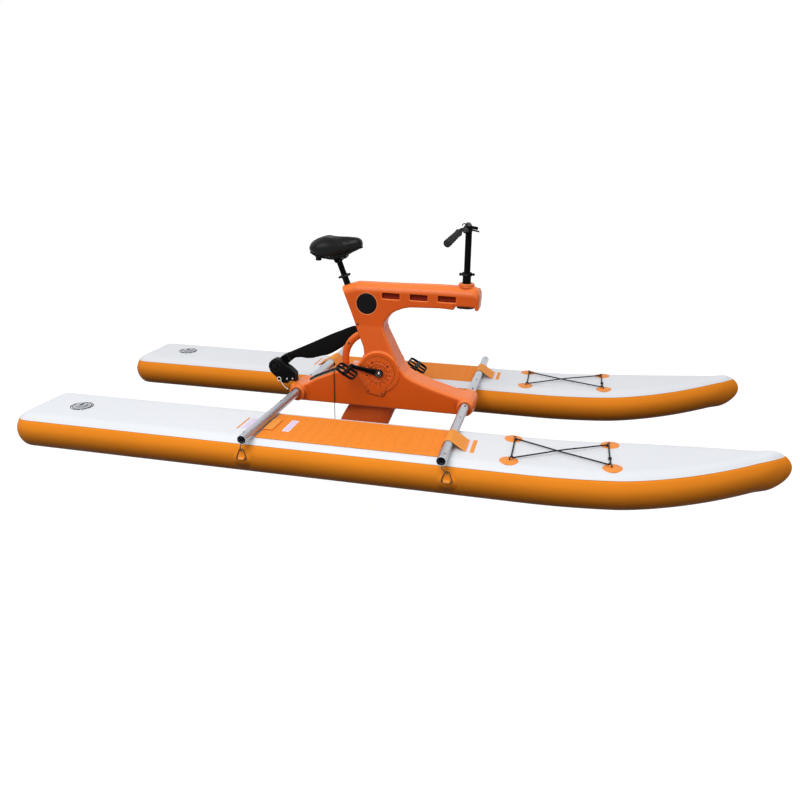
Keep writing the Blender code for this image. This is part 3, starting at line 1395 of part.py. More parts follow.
def make_stem():
    """The clamp head on the post that grips the bar, with a hand lever loop behind it."""
    profile = [(0.0, 0.0190), (0.026, 0.0205), (0.038, 0.0170)]
    shape = turned(profile, (STEER_X, 0, STEM_Z - 0.018), (0, 0, 1), 16)
    thing = make_object("stem", shape, (BLACK, 0.35), (STEER_X, 0, STEM_Z))
    fuse(thing, rod((BAR_X, -0.030, STEM_Z), (BAR_X, 0.030, STEM_Z), 0.0185, 16))
    loop = ((0.0, 0.014), (-0.018, 0.029), (-0.033, 0.028), (-0.038, 0.018))
    loop = smooth_path([(STEER_X + x, 0.0, STEM_Z + z) for x, z in loop], 3)
    fuse(thing, swept(loop, 0.0030, 0.0075, 8))
    fuse(thing, rod((STEER_X + 0.004, 0, STEM_Z + 0.014), (STEER_X + 0.050, 0, STEM_Z + 0.006), 0.0085, 12))
    fuse(thing, rod((STEER_X + 0.012, 0, STEM_Z - 0.002), (STEER_X + 0.058, 0, STEM_Z - 0.011), 0.0045, 8))
    cut(thing, bore((BAR_X, -0.05, STEM_Z), (BAR_X, 0.05, STEM_Z), BAR_RADIUS + 0.0003, 20))
    return thing


def make_grip(hand, name):
    """A rubber grip with raised ribs and a closed cap over the bar's end."""
    start, end = (Vector((x, hand * y, z)) for x, y, z in BAR_PATH[-2:])
    along = (end - start).normalized()
    length = (end - start).length + 0.006
    profile = [(0.0, 0.0175), (0.004, 0.0205), (0.010, 0.0160)]
    ribs = 5
    for rib in range(ribs):
        center = 0.022 + (length - 0.038) * rib / (ribs - 1)
        root = 0.0160 + 0.0035 * rib / (ribs - 1)
        profile += [(center - 0.0045, root), (center, root + 0.0020), (center + 0.0045, root)]
    profile += [(length - 0.004, 0.0210), (length, 0.0185)]
    thing = make_object(f"{name}_grip", turned(profile, start, along, 12), (BLACK, 0.7), start)
    cut(thing, bore(start - along * 0.01, end + along * 0.0008, BAR_RADIUS, 12))
    return thing


def make_steering_arm():
    """The lever disc under the beam that pulls the rudder cables."""
    outline = arc((STEER_X, 0.0), 0.050, 0.0, 345.0, 23)
    thing = make_object("steering_arm", prism_z(outline, 0.7850, 0.7910), (BLACK, 0.4), (STEER_X, 0, 0.785))
    fuse(thing, turned([(0.0, 0.0200), (0.0140, 0.0200)], (STEER_X, 0, 0.7895), (0, 0, 1), 16))
    holes = [rod((STEER_X, side * 0.038, 0.77), (STEER_X, side * 0.038, 0.80), 0.004, 10) for side in (-1, 1)]
    cut(thing, join(*holes))
    return thing


# Rudder

RUDDER_AXIS = Vector((math.cos(RUDDER_REST), 0.0, math.sin(RUDDER_REST)))
RUDDER_UP = Vector((-math.sin(RUDDER_REST), 0.0, math.cos(RUDDER_REST)))


def make_rudder_bracket():
    """A bracket bolted on the frame's rear end, with the pin on which the rudder flips up."""
    pivot = (RUDDER_PIVOT.x, RUDDER_PIVOT.z)
    foot = REAR_DECK_Z + GAP
    outline = [(-0.553, foot + 0.001), (-0.552, 0.318), (-0.592, 0.360), (-0.625, 0.380)]
    outline += arc(pivot, 0.044, 62.0, 236.0, 8)
    outline += [(-0.672, 0.292), (-0.648, 0.2500), (-0.590, 0.2600), (-0.582, foot + 0.001)]
    thing = make_object("rudder_bracket", prism_y(outline, -0.030, 0.018), (BLACK, 0.4))
    bevelled(thing, 0.004, 1)
    fuse(thing, box((-0.572, -0.046, foot), (-0.508, 0.046, foot + 0.006)))
    pin = Vector((RUDDER_PIVOT.x, -0.036, RUDDER_PIVOT.z))
    profile = [(0.0, 0.012), (0.003, 0.014), (0.008, 0.014), (0.008, 0.0100), (0.132, 0.0100)]
    fuse(thing, turned(profile, pin, (0, 1, 0), 20))
    for x, z in ((-0.607, 0.280), (-0.573, 0.281)):
        fuse(thing, turned([(0.0, 0.0065), (0.0040, 0.0055)], (x, -0.0295, z), (0, -1, 0), 12))
    return thing


def make_rudder_head():
    """The flipping head: an eye on the bracket's pin and a socket for the blade's stock."""
    low_y, high_y = 0.0190, 0.0930
    start = Vector((RUDDER_PIVOT.x, low_y, RUDDER_PIVOT.z))
    shape = rod(start, start + Vector((0, high_y - low_y, 0)), 0.0300, 16)
    thing = make_object("rudder_head", shape, (BLACK, 0.4), RUDDER_PIVOT)
    socket = RUDDER_PIVOT + RUDDER_AXIS * 0.010
    fuse(thing, rod(socket, RUDDER_PIVOT + RUDDER_AXIS * 0.130, 0.0240, 20))
    cut(thing, bore(start - Vector((0, 0.02, 0)), start + Vector((0, 0.12, 0)), 0.0100, 20))
    cut(thing, bore(RUDDER_PIVOT + RUDDER_AXIS * 0.050, RUDDER_PIVOT + RUDDER_AXIS * 0.16, 0.0120, 20))
    return thing


def make_rudder_blade():
    """The blade on its round stock: straight upper edge, wavy lower edge, thin toward both edges."""
    stock = rod(RUDDER_PIVOT + RUDDER_AXIS * 0.0503, RUDDER_PIVOT + RUDDER_AXIS * 0.165, 0.0120, 18)
    thing = make_object("rudder_blade", stock, (BLACK, 0.35), RUDDER_PIVOT + RUDDER_AXIS * 0.132)
    # distance along the axis, upper edge, lower edge
    edges = (
        (0.136, 0.030, -0.030), (0.150, 0.052, -0.048), (0.190, 0.060, -0.060), (0.250, 0.061, -0.066),
        (0.310, 0.062, -0.063), (0.370, 0.063, -0.056), (0.430, 0.064, -0.052), (0.490, 0.062, -0.055),
        (0.545, 0.058, -0.054), (0.580, 0.044, -0.042), (0.596, 0.020, -0.020),
    )
    rings = []
    for along, high, low in edges:
        middle = RUDDER_PIVOT + RUDDER_AXIS * along
        center, half = (high + low) / 2.0, (high - low) / 2.0
        ring = []
        for step in range(12):
            angle = 2.0 * math.pi * step / 12
            up = center + half * math.cos(angle)
            through = 0.0062 * math.copysign(abs(math.sin(angle)) ** 0.7, math.sin(angle))
            ring.append(middle + RUDDER_UP * up + Vector((0, through, 0)))
        rings.append(ring)
    fuse(thing, loft(rings))
    return thing


def make_steering_cable():
    """The sheathed rudder cable along the top of the lower beam, near its right edge."""
    guide = [(-0.452, 0.2920), (-0.430, 0.3085), (-0.398, 0.3245)]
    guide += [(-0.340, 0.3510), (-0.277, 0.3775), (-0.235, 0.3895)]
    points = smooth_path([(x, -0.052, z) for x, z in guide], 4)
    return make_cord("steering_cable", points, 0.0060, (BLACK, 0.5))


def make_rudder_lanyard():
    """The white line between the rudder bracket and the rear cross tube's boss."""
    guide = [(-0.655, -0.034, 0.262), (-0.638, -0.046, 0.244), (-0.615, -0.070, 0.236)]
    guide += [(-0.592, -0.098, 0.238), (-0.575, -0.121, 0.244)]
    return make_cord("rudder_lanyard", smooth_path(guide, 4), 0.0022, (WHITE_CORD, 0.7))


def make_trailing_cord():
    """A thin black cord over the lower beam's right edge, hanging into the water with a knot at its end."""
    radius = 0.0022
    turn = 0.0255
    edge_y, edge_z = -0.0660, 0.3465
    guide = [(-0.2895, -0.0608, edge_z + turn)]
    for step in range(5):
        angle = math.radians(90.0 + 22.5 * step)
        spot_y, spot_z = edge_y + turn * math.cos(angle), edge_z + turn * math.sin(angle)
        guide.append((-0.2870 + 0.0008 * step, spot_y, spot_z))
    guide += [(-0.2835, edge_y - turn, z) for z in (0.30, 0.25, 0.20, 0.15, 0.10, 0.05, 0.01)]
    return make_cord("trailing_cord", smooth_path(guide, 2), radius, (BLACK, 0.7))


def build():
    clear_scene()
    for hand, side_name in SIDES:
        make_float(hand, side_name)
        make_valve_cap(hand, side_name)
        make_deck_pad(hand, side_name)
        make_bungee(hand, side_name)
        for tube_x, end_name in ENDS:
            make_strap(hand, side_name, tube_x, end_name)
            make_side_ring(hand, side_name, tube_x, end_name)
            make_snap_button(hand, side_name, tube_x, end_name)
        make_gear_cover(hand, side_name)
        make_side_disc(hand, side_name)
        make_bearing(hand, side_name)
        make_crank(hand, side_name)
        make_pedal(hand, side_name)
        make_grip(hand, side_name)
    for tube_x, end_name in ENDS:
        make_cross_tube(tube_x, end_name)
    make_frame()
    make_drive_leg()
    make_crank_axle()
    make_drive_gear()
    make_drive_shaft()
    make_propeller_shaft()
    make_pod_seal()
    make_propeller()
    make_seat_post()
    make_seat_collar()
    make_seat_lever()
    make_saddle_rails()
    make_saddle_base()
    make_saddle_cushion()
    make_steerer()
    make_bar_post()
    make_bar_lever()
    make_stem()
    make_handlebar()
    make_steering_arm()
    make_rudder_bracket()
    make_rudder_head()
    make_rudder_blade()
    make_steering_cable()
    make_rudder_lanyard()
    make_trailing_cord()


build()
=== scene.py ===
# %% [markdown]
# # A pedal-driven water bike
# Two inflated floats lie side by side and carry two alloy tubes. A moulded orange frame bridges the tubes and
# holds a saddle, a handlebar, a crank set with a gear drive, and a rudder that is tipped up out of the water.
# The construction comes ready made as a fixed frame of plain solids, in metres. This notebook gives it its
# looks: the soft pieces are made again with more form, and every surface gets a finish of its own.

import math

import bmesh
import bpy
from mathutils import Matrix, Vector


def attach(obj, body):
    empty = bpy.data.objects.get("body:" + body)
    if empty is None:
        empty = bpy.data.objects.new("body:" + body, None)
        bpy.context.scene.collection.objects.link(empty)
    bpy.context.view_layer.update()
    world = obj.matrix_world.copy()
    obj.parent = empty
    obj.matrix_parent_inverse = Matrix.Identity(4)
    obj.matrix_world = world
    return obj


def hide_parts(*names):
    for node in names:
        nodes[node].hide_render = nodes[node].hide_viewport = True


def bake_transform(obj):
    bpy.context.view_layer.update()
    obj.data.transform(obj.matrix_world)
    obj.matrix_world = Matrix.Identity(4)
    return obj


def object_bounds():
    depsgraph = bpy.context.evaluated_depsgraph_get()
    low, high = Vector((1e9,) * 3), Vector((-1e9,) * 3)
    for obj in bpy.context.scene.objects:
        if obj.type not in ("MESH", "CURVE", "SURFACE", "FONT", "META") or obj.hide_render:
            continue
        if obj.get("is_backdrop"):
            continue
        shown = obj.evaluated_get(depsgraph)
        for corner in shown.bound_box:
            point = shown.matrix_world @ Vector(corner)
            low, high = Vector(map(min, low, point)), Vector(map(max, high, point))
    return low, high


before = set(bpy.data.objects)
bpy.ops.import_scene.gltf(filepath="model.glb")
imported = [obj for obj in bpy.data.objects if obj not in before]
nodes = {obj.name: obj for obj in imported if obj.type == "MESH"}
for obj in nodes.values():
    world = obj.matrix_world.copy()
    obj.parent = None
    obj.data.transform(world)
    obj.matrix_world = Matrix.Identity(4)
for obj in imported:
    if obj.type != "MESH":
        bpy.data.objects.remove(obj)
cad_low, cad_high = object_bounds()
print("solids:", len(nodes), "size:", [round(b - a, 3) for a, b in zip(cad_low, cad_high)])

# %% [markdown]
# ## Camera
# The craft is seen from its right side, a little ahead of its middle, and from about 20 degrees above. A lens
# of moderate length keeps the long floats in view with a little perspective. The camera could be aimed with a
# Track To constraint, but writing its three axes keeps the small roll that a hand-held view has.

# %% Place the camera
CAMERA_PLACE = Vector((1.0212, -3.9344, 1.6441))
CAMERA_HEADING, CAMERA_DIP, CAMERA_ROLL = (math.radians(angle) for angle in (13.107, 19.783, 0.645))
CAMERA_LENS, CAMERA_SENSOR = 31.66, 36.0    # millimetres


def camera_axes(heading, dip, roll):
    """The directions that point right, up and backward from the camera."""
    ahead = Vector((-math.sin(heading) * math.cos(dip), math.cos(heading) * math.cos(dip), -math.sin(dip)))
    level = Vector((math.cos(heading), math.sin(heading), 0.0))
    upright = level.cross(ahead)
    right = level * math.cos(roll) + upright * math.sin(roll)
    return right, upright * math.cos(roll) - level * math.sin(roll), -ahead


camera = bpy.data.objects.new("camera", bpy.data.cameras.new("camera"))
bpy.context.scene.collection.objects.link(camera)
camera.matrix_world = Matrix.Translation(CAMERA_PLACE) @ Matrix(
    camera_axes(CAMERA_HEADING, CAMERA_DIP, CAMERA_ROLL)).transposed().to_4x4()
camera.data.lens = CAMERA_LENS
camera.data.sensor_width = CAMERA_SENSOR
camera.data.clip_end = 100.0
bpy.context.scene.camera = camera
bpy.context.scene.view_settings.view_transform = "Standard"
print("camera at", [round(value, 2) for value in camera.location])

# %% [markdown]
# ## Light and floor
# Under an even sky, tops are bright, sides are about half as bright, and undersides take only what the floor
# sends back. That is how such craft look outdoors. A dome of even light does most of this; one broad lamp
# above adds a direction. The floor looks white to the camera, but it sends back little light, so that
# undersides stay deep.

# %% Shader helpers
def paint(code):
    """A colour as on a paint card, turned into the linear numbers that Blender mixes with."""
    parts = [int(code[start:start + 2], 16) / 255.0 for start in (0, 2, 4)]
    return tuple(part / 12.92 if part <= 0.04045 else ((part + 0.055) / 1.055) ** 2.4 for part in parts)


class Recipe:
    """A small hand for building node trees: each step adds a node and wires it up."""

    def __init__(self, tree):
        self.tree = tree

    def put(self, socket, value):
        if isinstance(value, bpy.types.NodeSocket):
            self.tree.links.new(value, socket)
        elif hasattr(value, "__len__") and len(value) == 3 and socket.type == "RGBA":
            socket.default_value = (*value, 1.0)
        else:
            socket.default_value = value

    def node(self, kind, settings=None, **inputs):
        made = self.tree.nodes.new(kind)
        for key, value in (settings or {}).items():
            setattr(made, key, value)
        for key, value in inputs.items():
            self.put(made.inputs[key.replace("_", " ")], value)
        return made

    def math(self, operation, first, second=0.0, third=0.0):
        made = self.tree.nodes.new("ShaderNodeMath")
        made.operation = operation
        for socket, value in zip(made.inputs, (first, second, third)):
            self.put(socket, value)
        return made.outputs[0]

    def place(self, stretch=(1.0, 1.0, 1.0)):
        """Where on the object a point is, in metres, stretched as asked."""
        spot = self.node("ShaderNodeTexCoord").outputs["Object"]
        return self.node("ShaderNodeMapping", Vector=spot, Scale=stretch).outputs[0]

    def noise(self, scale, detail=3.0, where=None, roughness=0.5):
        made = self.node("ShaderNodeTexNoise", Scale=scale, Detail=detail, Roughness=roughness)
        self.put(made.inputs["Vector"], where if where is not None else self.place())
        return made.outputs[0]

    def ramp(self, value, low, high, out_low=0.0, out_high=1.0):
        made = self.node("ShaderNodeMapRange")
        for key, amount in (("Value", value), ("From Min", low), ("From Max", high),
                            ("To Min", out_low), ("To Max", out_high)):
            self.put(made.inputs[key], amount)
        return made.outputs[0]

    def mix(self, share, first, second):
        made = self.node("ShaderNodeMix", {"data_type": "RGBA"})
        self.put(made.inputs[0], share)
        self.put(made.inputs[6], first)
        self.put(made.inputs[7], second)
        return made.outputs[2]

    def bump(self, height, depth, strength=1.0, before=None):
        made = self.node("ShaderNodeBump", Height=height, Distance=depth, Strength=strength)
        if before is not None:
            self.put(made.inputs["Normal"], before)
        return made.outputs[0]


# %% Sky
SKY_STRENGTH = 0.63


def straight_share(recipe):
    """1 for what is seen directly, in a mirror or through glass, and 0 for light that falls on things."""
    rays = recipe.node("ShaderNodeLightPath").outputs
    share = recipe.math("MAXIMUM", rays["Is Camera Ray"], rays["Is Transmission Ray"])
    return recipe.math("MAXIMUM", share, rays["Is Glossy Ray"])


world = bpy.data.worlds.new("sky")
bpy.context.scene.world = world
world.use_nodes = True
world.node_tree.nodes.clear()
sky = Recipe(world.node_tree)
brightness = sky.ramp(straight_share(sky), 0.0, 1.0, SKY_STRENGTH, 1.0)
backdrop = sky.node("ShaderNodeBackground", Color=(1.0, 1.0, 1.0), Strength=brightness)
sky.tree.links.new(backdrop.outputs[0], sky.node("ShaderNodeOutputWorld").inputs[0])
print("sky strength", SKY_STRENGTH)

# %% Lamp
LAMP_SIZE, LAMP_WATTS = 3.0, 190.0
LAMP_PLACE, LAMP_AIM = Vector((-0.6, -4.0, 4.6)), Vector((0.2, 0.0, 0.3))

lamp = bpy.data.objects.new("broad_lamp", bpy.data.lights.new("broad_lamp", "AREA"))
bpy.context.scene.collection.objects.link(lamp)
lamp.data.size = LAMP_SIZE
lamp.data.energy = LAMP_WATTS
lamp.location = LAMP_PLACE
lamp.rotation_euler = (LAMP_AIM - LAMP_PLACE).to_track_quat("-Z", "Y").to_euler()
print("lamp", LAMP_WATTS, "W")

# %% Floor
FLOOR_Z, FLOOR_SIZE = cad_low.z - 0.02, 30.0
floor_mesh = bpy.data.meshes.new("floor")
builder = bmesh.new()
bmesh.ops.create_grid(builder, x_segments=1, y_segments=1, size=FLOOR_SIZE)
builder.to_mesh(floor_mesh)
builder.free()
floor = bpy.data.objects.new("floor", floor_mesh)
floor.location.z = FLOOR_Z
bpy.context.scene.collection.objects.link(floor)
floor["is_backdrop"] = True

floor_look = bpy.data.materials.new("studio_floor")
floor_look.use_nodes = True
floor_look.node_tree.nodes.clear()
ground = Recipe(floor_look.node_tree)
dull = ground.node("ShaderNodeBsdfDiffuse", Color=(0.09, 0.09, 0.09))
glow = ground.node("ShaderNodeEmission", Color=(1.0, 1.0, 1.0), Strength=0.93)
pale = ground.node("ShaderNodeBsdfDiffuse", Color=(0.24, 0.24, 0.24))
both = ground.node("ShaderNodeAddShader")
ground.tree.links.new(glow.outputs[0], both.inputs[0])
ground.tree.links.new(pale.outputs[0], both.inputs[1])
choose = ground.node("ShaderNodeMixShader", Fac=straight_share(ground))
ground.tree.links.new(dull.outputs[0], choose.inputs[1])
ground.tree.links.new(both.outputs[0], choose.inputs[2])
ground.tree.links.new(choose.outputs[0], ground.node("ShaderNodeOutputMaterial").inputs[0])
floor.data.materials.append(floor_look)
print("floor at z", round(FLOOR_Z, 3))

# %% [markdown]
# ## Finishes
# The craft is made of a few materials: coated fabric on the floats, foam on the deck pads, moulded plastic on
# the frame, satin black plastic and vinyl, rubber, alloy and steel, and cords. Each finish is mixed from
# noise and waves in the object's own metres, so its grain has the real size and stays put when a piece moves.
# Pictures could be used instead, but a mixed grain never runs out of detail and needs no unwrapping.

# %% A finish starts from one shader
materials_before = len(bpy.data.materials)


def new_finish(name, roughness, metallic=0.0, shine=0.5):
    look = bpy.data.materials.new(name)
    look.use_nodes = True
    shader = look.node_tree.nodes["Principled BSDF"]
    shader.inputs["Roughness"].default_value = roughness
    shader.inputs["Metallic"].default_value = metallic
    shader.inputs["Specular IOR Level"].default_value = shine
    return look, Recipe(look.node_tree), shader.inputs


def tone(color, factor):
    return tuple(min(1.0, part * factor) for part in color)


def facing_up(recipe):
    """1 where a surface faces the sky, 0 where it stands upright, -1 where it faces the water."""
    normal = recipe.node("ShaderNodeNewGeometry").outputs["Normal"]
    return recipe.node("ShaderNodeSeparateXYZ", Vector=normal).outputs["Z"]


# %% [markdown]
# Moulded plastic has a fine spark-eroded grain and faint clouds of tone from the pigment. Its edges are paler:
# partly rubbed wear, partly a painted highlight where they catch the light. The Geometry node's Pointiness
# finds the edges. What faces the sky is painted lighter, as painted light, and corners and gaps get painted
# shade.

# %% Moulded plastic
def moulded(name, color, roughness, grain=0.00006, scale=900.0, wear_and_edge_highlight=0.25, shine=0.5, clouds=0.05, painted_top_light=None,
            painted_crevice_shade=0.0, edge_from=0.515, edge_to=0.60):
    """The colour for what faces the sky is painted light; the darkening of corners and gaps is painted shade.
    """
    look, recipe, into = new_finish(name, roughness, shine=shine)
    cloudy = recipe.ramp(recipe.noise(5.0, 4.0), 0.3, 0.7)
    body = recipe.mix(cloudy, tone(color, 1.0 - clouds), tone(color, 1.0 + clouds))
    # painted light: what faces the sky is lighter, as light falls from above
    if painted_top_light:
        body = recipe.mix(recipe.ramp(facing_up(recipe), 0.02, 0.72), body, painted_top_light)
    # painted shade: ambient occlusion darkens corners and gaps, where shade falls
    if painted_crevice_shade:
        open_share = recipe.node("ShaderNodeAmbientOcclusion", {"samples": 8}, Distance=0.03).outputs["AO"]
        body = recipe.mix(recipe.ramp(open_share, 0.25, 0.95, painted_crevice_shade, 0.0), body, tone(color, 0.15))
    # paler edges: partly rubbed wear, partly a painted highlight where edges catch the light
    edge = recipe.ramp(recipe.node("ShaderNodeNewGeometry").outputs["Pointiness"], edge_from, edge_to)
    worn_and_highlit_edges = recipe.math("MULTIPLY", edge, recipe.ramp(recipe.noise(60.0), 0.35, 0.65, 0.4, 1.0))
    pale = painted_top_light or tuple(part + (1.0 - part) * 0.12 for part in tone(color, 1.15))
    recipe.put(into["Base Color"], recipe.mix(recipe.math("MULTIPLY", worn_and_highlit_edges, wear_and_edge_highlight), body, pale))
    speckle = recipe.noise(scale, 2.0)
    patchy = recipe.noise(40.0, 3.0)
    recipe.put(into["Roughness"], recipe.ramp(patchy, 0.3, 0.7, roughness - 0.05, roughness + 0.06))
    recipe.put(into["Normal"], recipe.bump(speckle, grain, 0.6))
    return look


# the frame's moulding: painted light on its tops and edges, painted shade in its corners
ORANGE_MOULDED = moulded("orange_moulding", paint("D05512"), 0.36, shine=0.22, wear_and_edge_highlight=1.0,
                         painted_top_light=paint("F88038"), painted_crevice_shade=0.75, edge_from=0.505, edge_to=0.545)
# painted shade: a dark orange for the floors of recesses and grooves, where shade falls
ORANGE_GROOVE_SHADE = moulded("orange_groove_shade", paint("7A1C04"), 0.55, shine=0.10)
WHITE_PLASTIC = moulded("white_plastic", paint("E8E8E6"), 0.40, shine=0.3)
# on the black parts the paler edges are painted highlights with some rubbed wear
BLACK_MOULDED = moulded("black_moulding", paint("060708"), 0.42, wear_and_edge_highlight=0.35, shine=0.07,
                        edge_from=0.505, edge_to=0.545)
BLACK_GLOSS = moulded("black_painted_alloy", paint("040505"), 0.36, grain=0.00002, wear_and_edge_highlight=0.14, shine=0.045,
                      edge_from=0.505, edge_to=0.545)
BLACK_TUBE = moulded("black_tube", paint("020202"), 0.40, grain=0.00002, wear_and_edge_highlight=0.02, shine=0.035)
BLACK_PLATE = moulded("black_plain_disc", paint("0B0C0E"), 0.55, scale=600.0, wear_and_edge_highlight=0.02, shine=0.08)
SILVER_PLASTIC = moulded("silver_plastic", paint("B9BDC3"), 0.38, shine=0.3)
print("moulded finishes:", len(bpy.data.materials) - materials_before)

# %% [markdown]
# The floats are coated fabric: a plastic skin over a fine weave. Two crossed waves make the weave, at about
# one thread a millimetre, and a slow noise gives the slight unevenness of an air-filled skin. Threads that
# cross are a little darker, as dust stays between them.

# %% Coated fabric
def coated_fabric(name, color, roughness, pitch=0.0011, depth=0.00004, clouds=0.03, shine=0.4, under=1.0):
    """pitch is the distance of the threads in metres; under darkens what faces the water, as painted shade."""
    look, recipe, into = new_finish(name, roughness, shine=shine)
    where = recipe.place()
    parts = recipe.node("ShaderNodeSeparateXYZ", Vector=where).outputs
    turn = 2.0 * math.pi / pitch
    warp = recipe.math("SINE", recipe.math("MULTIPLY", parts["X"], turn))
    around = recipe.math("ADD", parts["Y"], parts["Z"])
    weft = recipe.math("SINE", recipe.math("MULTIPLY", around, turn))
    weave = recipe.math("MULTIPLY", warp, weft)
    cloudy = recipe.ramp(recipe.noise(2.2, 4.0), 0.3, 0.7)
    body = recipe.mix(cloudy, tone(color, 1.0 - clouds), tone(color, 1.0 + clouds))
    # painted shade: what faces down is darker, as little light reaches it
    body = recipe.mix(recipe.ramp(facing_up(recipe), -0.75, 0.30), tone(color, under), body)
    threads = recipe.ramp(weave, -1.0, 1.0, 0.0, 0.05)
    recipe.put(into["Base Color"], recipe.mix(threads, body, tone(color, 0.7)))
    recipe.put(into["Roughness"], recipe.ramp(recipe.noise(14.0), 0.3, 0.7, roughness - 0.04, roughness + 0.05))
    soft = recipe.bump(recipe.noise(3.0, 2.0), 0.004, 0.25)
    recipe.put(into["Normal"], recipe.bump(weave, depth, 0.5, soft))
    return look


# the rail's underside takes painted shade
RAIL_ORANGE = coated_fabric("rail_fabric", paint("F28E24"), 0.52, shine=0.05, under=0.16)
DECK_WHITE = coated_fabric("deck_fabric", paint("E6E9EE"), 0.40, clouds=0.012)
SEAM_BROWN = coated_fabric("seam_tape", paint("C2731C"), 0.5)
PATCH_ORANGE = coated_fabric("patch_fabric", paint("F59338"), 0.50)
LILAC_PATCH = coated_fabric("hook_patch", paint("E3D3EE"), 0.65, pitch=0.0016, depth=0.0001)
PALE_BAND = coated_fabric("bare_label", paint("F3E9EE"), 0.60)

# %% [markdown]
# The deck pad is closed-cell foam, brushed in one direction, so it looks dull and slightly streaky.

# %% Foam
def foam(name, color):
    look, recipe, into = new_finish(name, 0.72, shine=0.25)
    streaks = recipe.noise(60.0, 4.0, recipe.place((1.0, 6.0, 1.0)))
    body = recipe.mix(recipe.ramp(streaks, 0.3, 0.7), tone(color, 0.92), tone(color, 1.06))
    recipe.put(into["Base Color"], body)
    cells = recipe.noise(1400.0, 2.0)
    recipe.put(into["Normal"], recipe.bump(cells, 0.00012, 0.5, recipe.bump(streaks, 0.0004, 0.3)))
    return look


PAD_ORANGE = foam("deck_foam", paint("F68D2B"))

# %% [markdown]
# Straps are woven: ribs run across them, one every two millimetres or so, and rows of threads run along them.

# %% Webbing
def webbing(name, color, pitch=0.0018):
    look, recipe, into = new_finish(name, 0.62, shine=0.3)
    parts = recipe.node("ShaderNodeSeparateXYZ", Vector=recipe.place()).outputs
    turn = 2.0 * math.pi / pitch
    ribs = recipe.math("SINE", recipe.math("MULTIPLY", recipe.math("ADD", parts["X"], parts["Z"]), turn))
    rows = recipe.math("SINE", recipe.math("MULTIPLY", parts["Y"], turn * 0.5))
    weave = recipe.math("ADD", ribs, recipe.math("MULTIPLY", rows, 0.6))
    share = recipe.ramp(weave, -1.6, 1.6)
    recipe.put(into["Base Color"], recipe.mix(share, tone(color, 0.86), tone(color, 1.05)))
    recipe.put(into["Normal"], recipe.bump(weave, 0.00012, 0.6))
    return look


STRAP_ORANGE = webbing("strap_webbing", paint("F99D3B"))

# %% [markdown]
# Vinyl on the saddle has a leather grain. Voronoi cells give the creases between the little cushions of the
# grain. Rubber is dull, with a fine pitted skin and some dust in it.

# %% Vinyl and rubber
def vinyl(name, color, roughness=0.36, scale=420.0):
    look, recipe, into = new_finish(name, roughness, shine=0.17)
    cells = recipe.node("ShaderNodeTexVoronoi", {"feature": "DISTANCE_TO_EDGE"}, Scale=scale)
    recipe.put(cells.inputs["Vector"], recipe.place())
    creases = recipe.ramp(cells.outputs["Distance"], 0.0, 0.12)
    body = recipe.mix(recipe.ramp(recipe.noise(9.0), 0.3, 0.7), tone(color, 0.85), tone(color, 1.2))
    recipe.put(into["Base Color"], recipe.mix(creases, tone(color, 0.6), body))
    handled = recipe.noise(22.0)
    recipe.put(into["Roughness"], recipe.ramp(handled, 0.3, 0.7, roughness - 0.06, roughness + 0.08))
    dimples = recipe.bump(recipe.noise(30.0), 0.0008, 0.2)
    recipe.put(into["Normal"], recipe.bump(creases, 0.00012, 0.45, dimples))
    return look


def rubber(name, color, roughness=0.68):
    look, recipe, into = new_finish(name, roughness, shine=0.3)
    dust = recipe.ramp(recipe.noise(26.0, 5.0), 0.45, 0.8, 0.0, 0.35)
    recipe.put(into["Base Color"], recipe.mix(dust, color, tone(color, 2.0)))
    recipe.put(into["Normal"], recipe.bump(recipe.noise(1100.0, 2.0), 0.00006, 0.5))
    return look


SADDLE_VINYL = vinyl("saddle_vinyl", paint("070808"))
GRIP_RUBBER = rubber("grip_rubber", paint("151618"))

# %% [markdown]
# The tubes are drawn alloy with a dull clear coat of oxide. Drawing leaves fine lines along the tube, so the
# noise is squeezed across it and stretched along it. Cast and turned metal has the same grain every way.

# %% Metals
def drawn_metal(name, color, roughness, along=(1.0, 0.02, 1.0), scale=700.0):
    look, recipe, into = new_finish(name, roughness, metallic=1.0)
    lines = recipe.noise(scale, 3.0, recipe.place(along))
    dull = recipe.ramp(recipe.noise(7.0, 4.0), 0.3, 0.7)
    body = recipe.mix(dull, tone(color, 0.93), tone(color, 1.04))
    shade = recipe.ramp(lines, 0.3, 0.7, 0.0, 0.25)
    recipe.put(into["Base Color"], recipe.mix(shade, body, tone(color, 0.8)))
    recipe.put(into["Roughness"], recipe.ramp(lines, 0.3, 0.7, roughness - 0.08, roughness + 0.10))
    recipe.put(into["Normal"], recipe.bump(lines, 0.00003, 0.4))
    return look


EVEN_GRAIN = (1.0, 1.0, 1.0)
TUBE_ALLOY = drawn_metal("tube_alloy", paint("C3C7CE"), 0.40)
BRIGHT_STEEL = drawn_metal("bright_steel", paint("C8C9CB"), 0.25, EVEN_GRAIN, 300.0)
GEAR_STEEL = drawn_metal("gear_steel", paint("8F9194"), 0.35, EVEN_GRAIN, 500.0)

# %% [markdown]
# Cords are braided. The braid is two sets of fine diagonal lines; on a cord this thin only their sparkle
# shows. The last few finishes, for gaskets, cables and wire, come from the recipes above.

